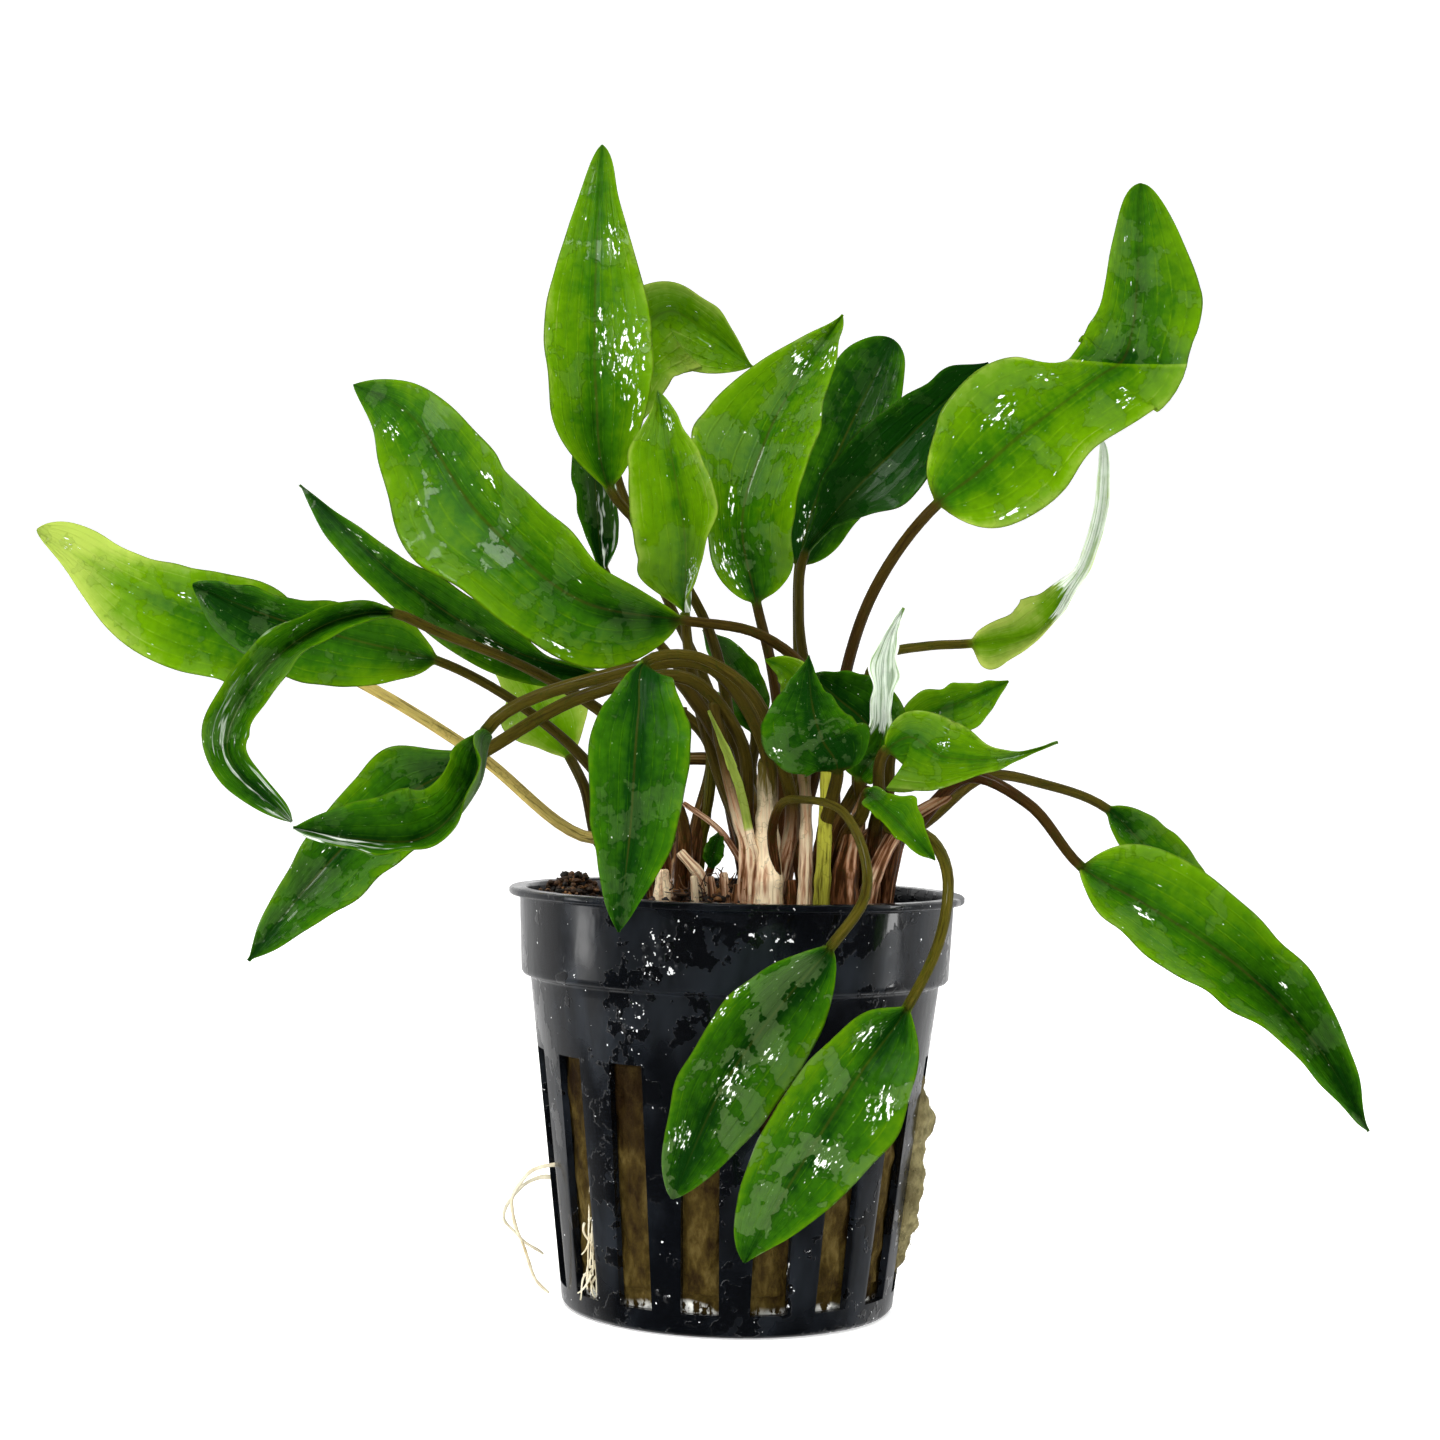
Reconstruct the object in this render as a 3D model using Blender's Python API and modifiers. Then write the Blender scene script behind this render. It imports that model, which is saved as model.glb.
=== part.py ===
"""Cryptocoryne petchii growing in a 5 cm slotted net pot.

The pot stands on z = 0 with its axis on Z, X to the right and Y away from the front.
Lengths below are in millimetres and become metres as each object is built.
"""

import math
from dataclasses import dataclass

import bmesh
import bpy
import numpy as np
from mathutils import Matrix

MM = 0.001
FRONT = (0.0, -1.0, 0.0)

# The pot
POT_HEIGHT = 50.0
POT_SIDES = 32
RIM_RADIUS = 27.5
RIM_THICKNESS = 0.9
BAND_TOP_RADIUS = 26.2
BAND_LOW_RADIUS = 25.8
LEDGE_TOP = 41.0
LEDGE_LOW = 39.6
LEDGE_ROUND = 0.5
WALL_TOP_RADIUS = 24.7
WALL_LOW_RADIUS = 20.1
WALL_LOW = 1.8
FOOT_RADIUS = 19.2
FOOT_ROUND = 0.5
WALL = 0.9
FLOOR = 1.2
SLOT_COUNT = 16
SLOT_WIDTH = 4.4
SLOT_LOW = 2.8
SLOT_HIGH = 31.0
SLOT_PHASE = 13.3
FLOOR_SLOTS = 8
FLOOR_SLOT_WIDTH = 3.0
FLOOR_SLOT_INNER = 8.0
FLOOR_SLOT_OUTER = 16.0

# The mineral wool that fills it, and the strips of it that come out of two slots
WOOL_GAP = 0.5
WOOL_LOW = 4.0
WOOL_HIGH = 49.0
WOOL_DOME = 1.0
WOOL_SHOULDER = 1.5
WOOL_SIDES = 32
TUFT_WIDTH = 3.6
TUFT_LOW = 5.0
TUFT_HIGH = 28.0
TUFT_RADIUS = 24.2
TUFT_SLOTS = (3, 4)

# The crowns, where the leaf stalks of each plantlet come together
CROWN_LOW = 45.0
CROWN_HIGH = 57.5
CROWN_LOW_RADIUS = 2.0
CROWN_HIGH_RADIUS = 0.8
CROWN_SIDES = 8
GAP = 0.35
CROWNS = {
    "crown_centre": (3.5, -7.5),
    "crown_left_front": (-6.5, -5.5),
    "crown_left_back": (-8.5, 5.0),
    "crown_right_front": (9.8, -9.5),
    "crown_right": (16.0, -5.0),
    "crown_right_back": (13.5, 6.0),
    "crown_back": (3.0, 7.0),
}

# The leaves
STALK_FOOT_RADIUS = 0.72
STALK_RADIUS = 0.52
BLADE_THICKNESS = 0.5
MIDRIB_TIP_RADIUS = 0.2
SEAT_HEIGHT = 53.0
SEAT_RISE = 4.0
SEAT_SPREAD = 0.25
STALK_STATIONS = 6
BLADE_STATIONS = (0.0, 0.035, 0.12, 0.25, 0.4, 0.55, 0.7, 0.86, 1.0)


# A blade's section, one number a corner, clockwise from its upper midrib: how far out on the half
# blade the corner lies, and how far off its middle plane
REACH = (0, 0.5, 1, 0.5, 0, 0.5, 1, 0.5)
LIFT = (1, 0.8, 0, -0.8, -1, -0.8, 0, 0.8)


@dataclass
class Leaf:
    """One leaf: its stalk and its blade, as points from the crown to the tip.

    seat is the side of the crown it grows from, in degrees from the front toward +X.
    left and right say how far each half of the blade turns toward the viewer, in degrees,
    at even steps from base to tip. base and point shape the outline: a low base gives a round
    heart-like foot to the blade, and a high point gives a long drawn-out tip.
    """

    crown: str
    seat: float
    stalk: list
    blade: list
    half_width: float
    left: tuple = (15, 15, 15)
    right: tuple = (15, 15, 15)
    base: float = 0.6
    point: float = 0.9
    tone: str = "mid"


LEAVES = {
    "leaf_tall": Leaf(
        "crown_back", 309, [(-1, 2, 68), (-4, 0, 81), (-10.5, -1, 91.5)],
        [(-16.5, -2, 98), (-18.5, -1, 109.5), (-19, 1, 119.5), (-19, 9, 142)],
        7.1, (45, 35, 20, 0, 0), (40, 20, 0, 0, 0), point=1.2),
    "leaf_behind_tall": Leaf(
        "crown_back", 257, [(-5, 9, 73), (-13, 10, 83)],
        [(-17.5, 10, 89), (-18.5, 10, 96), (-19, 11, 105), (-18, 13, 113)],
        5.0, (50, 30, 20), (30, 10, 10), tone="dark"),
    "leaf_back_arch": Leaf(
        "crown_back", 206, [(-3.5, 17, 73), (-12, 21, 91)],
        [(-17.5, 24, 106), (-15.5, 26, 119), (-10.5, 28, 124.5), (-5, 28, 121.5), (0.5, 25, 117)],
        7.2, (50, 55, 50, 50, 40), (20, 10, 0, 0, 0)),
    "leaf_broad_left": Leaf(
        "crown_centre", 103, [(9, -6.5, 66), (7, -9, 77), (2, -11, 80.5)],
        [(-7.5, -12, 82), (-18, -13, 83.5), (-31, -9, 93.5), (-41.5, -1, 107), (-49, 7, 111)],
        8.6, (0, 25, 15, 0, 0), (65, 50, 42, 25, 10), base=0.55, point=0.75),
    "leaf_narrow_left": Leaf(
        "crown_left_front", 154, [(-4, 2, 68), (-11, 2, 73.5)],
        [(-17.5, 2, 75.5), (-27, 0, 78), (-40, -3, 85.5), (-54.5, 2, 98)],
        4.4, (30, 10, 10, 20, 10), (75, 65, 40, 20, 10), point=1.0, tone="dark"),
    "leaf_far_left": Leaf(
        "crown_left_back", 330, [(-18.5, 9, 55.5), (-33, 13, 65.5), (-47, 17, 73.5)],
        [(-55.5, 19, 77.5), (-65, 21, 80.5), (-77.5, 24, 85), (-93, 27, 93.5)],
        7.0, (10, 10, 5, 10, 10), (20, 25, 20, 15, 10), base=0.5, point=0.8, tone="bright"),
    "leaf_dark_left": Leaf(
        "crown_left_front", 257, [(-13, 2, 59), (-22, 4, 68)],
        [(-37.5, 4, 77), (-46.5, 6, 79), (-58.5, 9, 82), (-69.5, 13, 86)],
        6.4, (30, 15, 10, 0, 20), (45, 25, 55, 66, 60), point=0.5, tone="dark"),
    "leaf_curled_left": Leaf(
        "crown_left_front", 0, [(-13, -9, 68), (-26.5, -9, 76.5), (-36, -10, 80)],
        [(-41, -12, 82), (-46.5, -16, 81), (-54.5, -21, 74.5), (-57.5, -25, 66), (-49.5, -29, 58)],
        3.8, (60, 60, 45, 35, 30), (70, 60, 50, 45, 30), base=0.5, point=0.6, tone="silver"),
    "leaf_twisted_left": Leaf(
        "crown_centre", 0, [(2.5, -16, 68), (-4, -19, 76.5), (-16, -20, 75)],
        [(-29, -21, 68.5), (-30, -25, 62.5), (-35, -30, 56.5), (-42.5, -33, 56.5), (-48.5, -34, 57.5)],
        5.6, (100, 95, 75, 75, 60), (50, 45, 15, 25, 30)),
    "leaf_low_left": Leaf(
        "crown_centre", 309, [(0, -11, 68), (-6, -13, 75), (-18, -13, 73)],
        [(-30, -13, 66), (-41.5, -18, 58.5), (-48.5, -23, 50.5), (-54, -28, 42.5)],
        6.4, (30, 45, 35, 20), (30, 0, 10, 20), base=0.45, point=1.0),
    "leaf_front_left": Leaf(
        "crown_centre", 51, [(4.5, -18.5, 66), (0.5, -22.5, 74), (-6, -25, 77.5)],
        [(-11, -28, 76.5), (-11.5, -31, 71), (-12, -34, 58), (-13, -33, 47)],
        5.6, (0, 10, 20), (45, 15, 15, 20), base=0.5, point=0.85),
    "leaf_light_centre": Leaf(
        "crown_centre", 257, [(-2.5, -5, 64), (-6, -7, 76)],
        [(-7, -8, 83), (-7, -9, 90), (-8.5, -9, 99), (-11, -6, 109.5)],
        5.8, (0, 15, 10, 15, 40), (80, 62, 42, 38, 40), base=0.5, point=0.75, tone="bright"),
    "leaf_centre": Leaf(
        "crown_centre", 154, [(5, -3, 66), (3.5, -3, 77)],
        [(1.5, -4, 84.5), (-0.5, -5, 94), (2, -2, 104), (11.5, 9, 121.5)],
        8.4, (45, 45, 10, 20, 50), (0, 44, 48, 50, 50), base=0.75),
    "leaf_behind_centre": Leaf(
        "crown_back", 103, [(7.5, 11, 72), (7, 14, 82)],
        [(7, 15, 90.5), (8.5, 18, 97.5), (12, 22, 106), (19, 28, 121.5)],
        6.8, (30, 20, 20), (10, 10, 10), base=0.5, point=0.6, tone="bright"),
    "leaf_dark_centre": Leaf(
        "crown_back", 51, [(8.5, 8, 72), (7, 9, 84)],
        [(7.5, 9, 91.5), (10.5, 10, 96), (20, 12, 106.5), (30.5, 16, 117)],
        5.6, (30, 25, 20), (30, 30, 30), base=0.8, point=0.8, tone="dark"),
    "leaf_big_right": Leaf(
        "crown_right_back", 330, [(12.5, 2, 76), (15.5, 2, 86)],
        [(23, 2, 98), (28.5, 3, 102.5), (36, 7, 108.5), (44.5, 12, 115.5), (49.5, 16, 124),
         (50, 18, 132), (49.5, 18, 141)],
        9.5, (20, 0, 62, 48, 25), (0, 5, 0, 0, 0), base=0.45, point=0.65, tone="bright"),
    "leaf_thin_right": Leaf(
        "crown_right_back", 154, [(15, 10, 70), (17.5, 12, 79), (23.5, 14, 80)],
        [(31.5, 15, 81), (38.5, 15, 83), (42.5, 15, 89), (45.5, 16, 97.5), (46, 18, 107.5)],
        4.4, (10, 20, 75, 80, 80), (0, 60, 85, 82, 80), base=0.5, point=0.6, tone="silver"),
    "leaf_hooked": Leaf(
        "crown_right_front", 0, [(10.5, -17, 61.5)],
        [(11, -19, 65), (9, -23, 68.5), (7.5, -28, 73), (7, -32, 77.5)],
        6.8, (0, 0, 10), (0, 0, 10), base=0.35, tone="dark"),
    "leaf_silver": Leaf(
        "crown_right", 309, [(14.5, -9.5, 60.5)],
        [(14, -11.5, 64), (16, -13, 67.5), (16.5, -13.5, 73), (16.5, -14, 79), (18.5, -13, 84)],
        5.0, (0, 10, 65, 60, 50), (60, 75, 75, 70, 60), base=0.5, tone="silver"),
    "leaf_dark_cluster": Leaf(
        "crown_right_front", 154, [(13.5, -6, 62)],
        [(16, -7.5, 67), (15, -9, 70), (11, -10, 73.5), (8, -11, 76)],
        5.0, (20, 20, 20), (10, 10, 20, 30), base=0.5, point=0.7, tone="dark"),
    "leaf_light_tip": Leaf(
        "crown_right_front", 257, [(7.5, -11, 64)],
        [(8, -13, 70), (7, -14.5, 73.5), (5, -15.5, 76.5), (2.5, -15.5, 77.5)],
        2.4, (10, 10, 10), (10, 10, 10), tone="bright"),
    "leaf_right_upper": Leaf(
        "crown_right", 154, [(18, 0, 62)],
        [(18.5, -2, 68), (22, -4, 71.5), (26.5, -4, 73.5), (32, -3, 76)],
        3.9, (45, 45, 30), (20, 20, 20), base=0.5, point=0.7),
    "leaf_right_low": Leaf(
        "crown_right", 0, [(16, -16, 61)],
        [(17.5, -20, 66), (19.5, -21, 68.5), (22.5, -22, 67), (27.5, -23, 66.5), (35.5, -24, 69)],
        4.2, (0, 10, 10, 20), (0, 0, 40, 60), base=0.4, point=1.6),
    "leaf_small_pointed": Leaf(
        "crown_right_front", 51, [(14, -17, 60)],
        [(14.5, -21, 62.5), (15.5, -24, 61.5), (18.5, -27.5, 58.5), (21.5, -29, 55.5)],
        3.4, (10, 10, 10), (10, 10, 10), point=0.7),
    "leaf_drooping_right": Leaf(
        "crown_right", 103, [(20, -7, 57.5), (27, -11, 64.5), (33.5, -14, 61.5)],
        [(39.5, -16, 54.5), (46.5, -19, 50.5), (56.5, -23, 44), (64.5, -26, 36), (70.5, -27, 26.5)],
        7.4, (0, 0, 35, 45, 40), (60, 52, 58, 58, 55), base=0.5),
    "leaf_behind_drooping": Leaf(
        "crown_right_back", 51, [(21, 6, 57.5), (31.5, 10, 64.5), (38.5, 13, 63.5)],
        [(47, 16, 60.5), (51.5, 17, 56.5), (57.5, 18, 51), (62, 19, 45.5)],
        3.8, (20, 20, 20), (40, 40, 40), tone="dark"),
    "leaf_hanging_left": Leaf(
        "crown_right_front", 309, [(4, -15, 56), (5, -20, 61), (12, -28, 60), (13.5, -34, 51.5)],
        [(10, -34, 46), (5.5, -34, 40.5), (-0.5, -34, 32), (-6.5, -32, 18)],
        6.4, (15, 18, 10, 10, 15), (65, 45, 40, 32, 20), base=0.55, point=0.75),
    "leaf_hanging_right": Leaf(
        "crown_right", 51, [(17.5, -16, 58.5), (21.5, -23, 57.5), (23.7, -29, 53.5), (23, -32, 47)],
        [(18.5, -33, 39.5), (13.5, -37, 33), (7, -38, 22.5), (1.5, -36, 12)],
        6.6, (45, 25, 0, 15, 10), (50, 25, 20, 15, 0), base=0.55, point=0.75),
    "leaf_low_back_left": Leaf(
        "crown_left_back", 250, [(-17, 11, 54.5), (-19.5, 12, 62)],
        [(-21.5, 14, 65.5), (-24.5, 17, 70), (-28.5, 22, 76), (-34, 27, 80.5)],
        4.6, (15, 15, 15), (15, 15, 15), tone="bright"),
    "leaf_rolled_young": Leaf(
        "crown_back", 0, [(2, 3, 60)],
        [(1, 6, 63), (0, 7, 67), (-1.5, 8, 71), (-3, 9, 74)],
        1.2, (70, 70, 70), (70, 70, 70), tone="bright"),
    "leaf_short_back": Leaf(
        "crown_back", 154, [(1.5, 12, 64)],
        [(2, 13, 69), (1, 13, 73), (-1.5, 14, 78), (-5, 15, 82)],
        3.0, (20, 20, 20), (20, 20, 20), tone="dark"),
}

TONES = {
    "bright": (0.16, 0.33, 0.015),
    "mid": (0.045, 0.16, 0.012),
    "dark": (0.015, 0.07, 0.01),
    "silver": (0.12, 0.2, 0.12),
}

ROOT_RADIUS = 0.25
ROOTS = {
    "root_long": [(-20.7, -4.9, 17), (-22.5, -5, 16.8), (-24.8, -5, 15), (-26, -5, 12.5), (-25.2, -4.8, 9),
                  (-23.8, -4.5, 5.5), (-23, -4.5, 3), (-21.3, -4.5, 1.6)],
    "root_short": [(-21, 3.4, 14), (-23, 3.4, 14), (-26.3, 3.2, 12), (-27.5, 3, 9.5), (-25.5, 3, 6.8),
                   (-22.6, 3, 4.8)],
}


def cubic_through(points, at):
    """Points of the smooth curve through the given ones, at the given lengths from 0 to 1.

    Between two points it is the cubic whose end slopes are those of the chords beside them.
    """
    points = np.asarray(points, float)
    if points.ndim == 1:
        steps = np.ones(len(points) - 1)
        points = points[:, None]
    else:
        steps = np.linalg.norm(np.diff(points, axis=0), axis=1)
    knots = np.concatenate([[0.0], np.cumsum(steps)])
    slopes = np.gradient(points, knots, axis=0)
    where = np.asarray(at, float) * knots[-1]
    i = np.clip(np.searchsorted(knots, where, side="right") - 1, 0, len(steps) - 1)
    h = steps[i][:, None]
    t = ((where - knots[i])[:, None]) / h
    return ((1 + 2 * t) * (1 - t) ** 2 * points[i] + t * (1 - t) ** 2 * h * slopes[i]
            + t * t * (3 - 2 * t) * points[i + 1] - t * t * (1 - t) * h * slopes[i + 1])


def unit(vectors):
    return vectors / np.linalg.norm(vectors, axis=-1, keepdims=True)


def leaf_line(leaf):
    """The leaf's points from its seat on the crown to its tip, and how many are stalk."""
    turn = math.radians(leaf.seat)
    x, y = CROWNS[leaf.crown]
    climb = (SEAT_HEIGHT - CROWN_LOW) / (CROWN_HIGH - CROWN_LOW)
    ring = CROWN_LOW_RADIUS + (CROWN_HIGH_RADIUS - CROWN_LOW_RADIUS) * climb + GAP + STALK_FOOT_RADIUS
    out = np.array([math.sin(turn), -math.cos(turn), 0.0])
    foot = np.array([x, y, SEAT_HEIGHT]) + ring * out
    rise = foot + SEAT_RISE * unit(np.array([0.0, 0.0, 1.0]) + SEAT_SPREAD * out)
    stalk = [foot, rise, *leaf.stalk]
    return np.array([*stalk, *leaf.blade], float), len(stalk)


def leaf_sections(leaf):
    """Rings of eight points along the leaf: a round stalk that opens into a thin folded blade."""
    points, stalk_count = leaf_line(leaf)
    lengths = np.concatenate([[0.0], np.cumsum(np.linalg.norm(np.diff(points, axis=0), axis=1))])
    blade_from = lengths[stalk_count] / lengths[-1]
    s = np.array(BLADE_STATIONS)
    along = np.concatenate([np.linspace(0, blade_from, STALK_STATIONS, endpoint=False),
                            blade_from + (1 - blade_from) * s])
    s = np.concatenate([np.zeros(STALK_STATIONS), s])
    centre = cubic_through(points, along)
    step = 1e-3
    tangent = unit(cubic_through(points, np.clip(along + step, 0, 1))
                   - cubic_through(points, np.clip(along - step, 0, 1)))
    across = unit(np.cross(tangent, FRONT))
    toward = np.cross(across, tangent)

    widest = leaf.base / (leaf.base + leaf.point)
    peak = widest ** leaf.base * (1 - widest) ** leaf.point
    half = leaf.half_width * s ** leaf.base * (1 - s) ** leaf.point / peak
    stalk = np.interp(along, [0, blade_from * 0.5, blade_from, 1],
                      [STALK_FOOT_RADIUS, STALK_RADIUS, STALK_RADIUS * 0.9, MIDRIB_TIP_RADIUS])
    flat = np.clip(half / (2 * STALK_RADIUS), 0, 1)[:, None]
    right_turn = np.radians(cubic_through(leaf.right, s)[:, 0])[:, None]
    left_turn = np.radians(cubic_through(leaf.left, s)[:, 0])[:, None]
    right = np.cos(right_turn) * across + np.sin(right_turn) * toward
    left = -np.cos(left_turn) * across + np.sin(left_turn) * toward
    right_up = -np.sin(right_turn) * across + np.cos(right_turn) * toward
    left_up = np.sin(left_turn) * across + np.cos(left_turn) * toward
    stalk, half = stalk[:, None], half[:, None]
    thin = BLADE_THICKNESS / 2

    ring = []
    for k in range(8):
        angle = math.pi / 2 - k * math.pi / 4
        round_at = stalk * (math.cos(angle) * across + math.sin(angle) * toward)
        side, up = (right, right_up) if k <= 4 else (left, left_up)
        if k == 0:
            flat_at = thin * toward
        elif k == 4:
            flat_at = -stalk * toward
        else:
            flat_at = half * REACH[k] * side + thin * LIFT[k] * up
        ring.append(centre + round_at * (1 - flat) + flat_at * flat)
    return np.stack(ring, 1)


def material(name, colour, roughness, metallic=0.0):
    made = bpy.data.materials.new(name)
    made.use_nodes = True
    shader = made.node_tree.nodes["Principled BSDF"]
    shader.inputs["Base Color"].default_value = (*colour, 1.0)
    shader.inputs["Roughness"].default_value = roughness
    shader.inputs["Metallic"].default_value = metallic
    made.diffuse_color = (*colour, 1.0)
    return made


def collection(name, helpers=False):
    made = bpy.data.collections.new(name)
    bpy.context.scene.collection.children.link(made)
    made.hide_render = helpers
    return made


def from_bmesh(name, shape, home, finish=None):
    mesh = bpy.data.meshes.new(name)
    bmesh.ops.recalc_face_normals(shape, faces=shape.faces)
    shape.to_mesh(mesh)
    shape.free()
    made = bpy.data.objects.new(name, mesh)
    home.objects.link(made)
    if finish:
        mesh.materials.append(finish)
    else:
        made.hide_render = True
        made.display_type = "WIRE"
    return made


def turned(name, profile, sides, home, finish):
    """A solid of revolution: the closed outline of radius and height swept once round Z."""
    shape = bmesh.new()
    rim = [shape.verts.new((r * MM, 0, z * MM)) for r, z in profile]
    for first, second in zip(rim, rim[1:]):
        shape.edges.new((first, second))
    mesh = bpy.data.meshes.new(name)
    shape.to_mesh(mesh)
    shape.free()
    made = bpy.data.objects.new(name, mesh)
    home.objects.link(made)
    screw = made.modifiers.new("turn", "SCREW")
    screw.steps = screw.render_steps = sides
    screw.use_merge_vertices = True
    screw.merge_threshold = 1e-6
    screw.use_normal_calculate = True
    mesh.materials.append(finish)
    return made


def boolean(target, other, operation):
    cut = target.modifiers.new(other.name, "BOOLEAN")
    cut.object = other
    cut.operation = operation
    cut.solver = "EXACT"


def boxes(name, sizes_and_places, home):
    """One helper mesh of boxes, each (length X, Y, Z), (centre X, Y, Z), turn about Z in degrees."""
    shape = bmesh.new()
    for size, place, turn in sizes_and_places:
        made = bmesh.ops.create_cube(shape, size=1.0)["verts"]
        bmesh.ops.scale(shape, verts=made, vec=[v * MM for v in size])
        bmesh.ops.translate(shape, verts=made, vec=[v * MM for v in place])
        spin = Matrix.Rotation(math.radians(turn), 3, "Z")
        bmesh.ops.rotate(shape, verts=made, cent=(0, 0, 0), matrix=spin)
    return from_bmesh(name, shape, home)


def wall_radius(z):
    """The outside of the slotted wall at a height."""
    climb = (z - WALL_LOW) / (LEDGE_LOW - WALL_LOW)
    return WALL_LOW_RADIUS + (WALL_TOP_RADIUS - WALL_LOW_RADIUS) * climb


def pot(home, helpers):
    black = material("black_plastic", (0.006, 0.006, 0.008), 0.25)
    rim_low = POT_HEIGHT - RIM_THICKNESS
    profile = [
        (0, 0), (FOOT_RADIUS, 0), (WALL_LOW_RADIUS - FOOT_ROUND, FOOT_ROUND), (WALL_LOW_RADIUS, WALL_LOW),
        (WALL_TOP_RADIUS, LEDGE_LOW), (BAND_LOW_RADIUS, LEDGE_LOW + LEDGE_ROUND), (BAND_LOW_RADIUS, LEDGE_TOP),
        (BAND_TOP_RADIUS, rim_low), (RIM_RADIUS, rim_low), (RIM_RADIUS, POT_HEIGHT),
        (BAND_TOP_RADIUS - WALL, POT_HEIGHT), (BAND_LOW_RADIUS - WALL, LEDGE_TOP),
        (WALL_TOP_RADIUS - WALL, LEDGE_LOW), (WALL_LOW_RADIUS - WALL, WALL_LOW),
        (FOOT_RADIUS - WALL, FLOOR), (0, FLOOR),
    ]
    made = turned("pot", profile, POT_SIDES, home, black)
    slot_height = SLOT_HIGH - SLOT_LOW
    reach = WALL_TOP_RADIUS - FLOOR_SLOT_OUTER
    slots = [((SLOT_WIDTH, reach, slot_height),
              (0, -(FLOOR_SLOT_OUTER + reach / 2), SLOT_LOW + slot_height / 2),
              SLOT_PHASE + k * 360 / SLOT_COUNT) for k in range(SLOT_COUNT)]
    boolean(made, boxes("slot_cutter", slots, helpers), "DIFFERENCE")
    length = FLOOR_SLOT_OUTER - FLOOR_SLOT_INNER
    floor = [((FLOOR_SLOT_WIDTH, length, 4 * FLOOR),
              (0, -(FLOOR_SLOT_INNER + length / 2), FLOOR / 2),
              SLOT_PHASE + k * 360 / FLOOR_SLOTS) for k in range(FLOOR_SLOTS)]
    boolean(made, boxes("floor_slot_cutter", floor, helpers), "DIFFERENCE")
    return made


def wool(home, helpers):
    """The plug of mineral wool: a tapered drum with a lumpy top, pockets for the crowns, and tufts."""
    brown = material("mineral_wool", (0.13, 0.09, 0.035), 0.95)
    inside = WALL + WOOL_GAP
    low = wall_radius(WOOL_LOW) - inside
    top = wall_radius(LEDGE_LOW) - inside
    profile = [
        (0, WOOL_LOW), (low, WOOL_LOW), (top, LEDGE_LOW), (top, WOOL_HIGH - WOOL_SHOULDER),
        (top - WOOL_SHOULDER, WOOL_HIGH), (top / 2, WOOL_HIGH + WOOL_DOME), (0, WOOL_HIGH + WOOL_DOME),
    ]
    made = turned("wool_plug", profile, WOOL_SIDES, home, brown)
    pockets = bmesh.new()
    deep = 2 * (WOOL_HIGH - CROWN_LOW)
    for x, y in CROWNS.values():
        place = Matrix.Translation((x * MM, y * MM, (CROWN_LOW - GAP + deep / 2) * MM))
        radius = (CROWN_LOW_RADIUS + GAP) * MM
        bmesh.ops.create_cone(pockets, cap_ends=True, segments=CROWN_SIDES, radius1=radius,
                              radius2=radius, depth=deep * MM, matrix=place)
    boolean(made, from_bmesh("crown_pockets", pockets, helpers), "DIFFERENCE")
    tufts = []
    for k in TUFT_SLOTS:
        reach = TUFT_RADIUS - FLOOR_SLOT_OUTER
        tufts.append(((TUFT_WIDTH, reach, TUFT_HIGH - TUFT_LOW),
                      (0, -(FLOOR_SLOT_OUTER + reach / 2), (TUFT_HIGH + TUFT_LOW) / 2),
                      SLOT_PHASE + k * 360 / SLOT_COUNT))
    boolean(made, boxes("tufts", tufts, helpers), "UNION")
    return made


def crown(name, place, home, finish):
    shape = bmesh.new()
    height = CROWN_HIGH - CROWN_LOW
    bmesh.ops.create_cone(shape, cap_ends=True, segments=CROWN_SIDES, radius1=CROWN_LOW_RADIUS * MM,
                          radius2=CROWN_HIGH_RADIUS * MM, depth=height * MM)
    made = from_bmesh(name, shape, home, finish)
    made.location = (place[0] * MM, place[1] * MM, (CROWN_LOW + height / 2) * MM)
    return made


def leaf_object(name, leaf, home, finish):
    """Lofts the leaf's rings, closes the foot with one face and the tip with a point."""
    rings = leaf_sections(leaf) * MM
    shape = bmesh.new()
    loops = [[shape.verts.new(p) for p in ring] for ring in rings[:-1]]
    tip = shape.verts.new(rings[-1].mean(0))
    for first, second in zip(loops, loops[1:]):
        for k in range(8):
            j = (k + 1) % 8
            shape.faces.new((first[k], first[j], second[j], second[k]))
    for k in range(8):
        shape.faces.new((loops[-1][k], loops[-1][(k + 1) % 8], tip))
    shape.faces.new(loops[0][::-1])
    return from_bmesh(name, shape, home, finish)


def root(name, points, home, finish):
    at = np.linspace(0, 1, 16)
    curve = bpy.data.curves.new(name, "CURVE")
    curve.dimensions = "3D"
    curve.bevel_depth = ROOT_RADIUS * MM
    curve.bevel_resolution = 1
    curve.use_fill_caps = True
    line = curve.splines.new("POLY")
    line.points.add(len(at) - 1)
    for knot, place in zip(line.points, cubic_through(points, at)):
        knot.co = (*(place * MM), 1.0)
    curve.materials.append(finish)
    made = bpy.data.objects.new(name, curve)
    home.objects.link(made)
    return made


def main():
    for old in list(bpy.data.objects):
        bpy.data.objects.remove(old)
    home = collection("cryptocoryne_petchii")
    helpers = collection("cutters", helpers=True)
    pot(home, helpers)
    wool(home, helpers)
    pale = material("crown_flesh", (0.55, 0.36, 0.26), 0.5)
    for name, place in CROWNS.items():
        crown(name, place, home, pale)
    greens = {tone: material("leaf_" + tone, colour, 0.35) for tone, colour in TONES.items()}
    for name, leaf in LEAVES.items():
        leaf_object(name, leaf, home, greens[leaf.tone])
    white = material("root_white", (0.75, 0.7, 0.55), 0.6)
    for name, points in ROOTS.items():
        root(name, points, home, white)


main()
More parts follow.
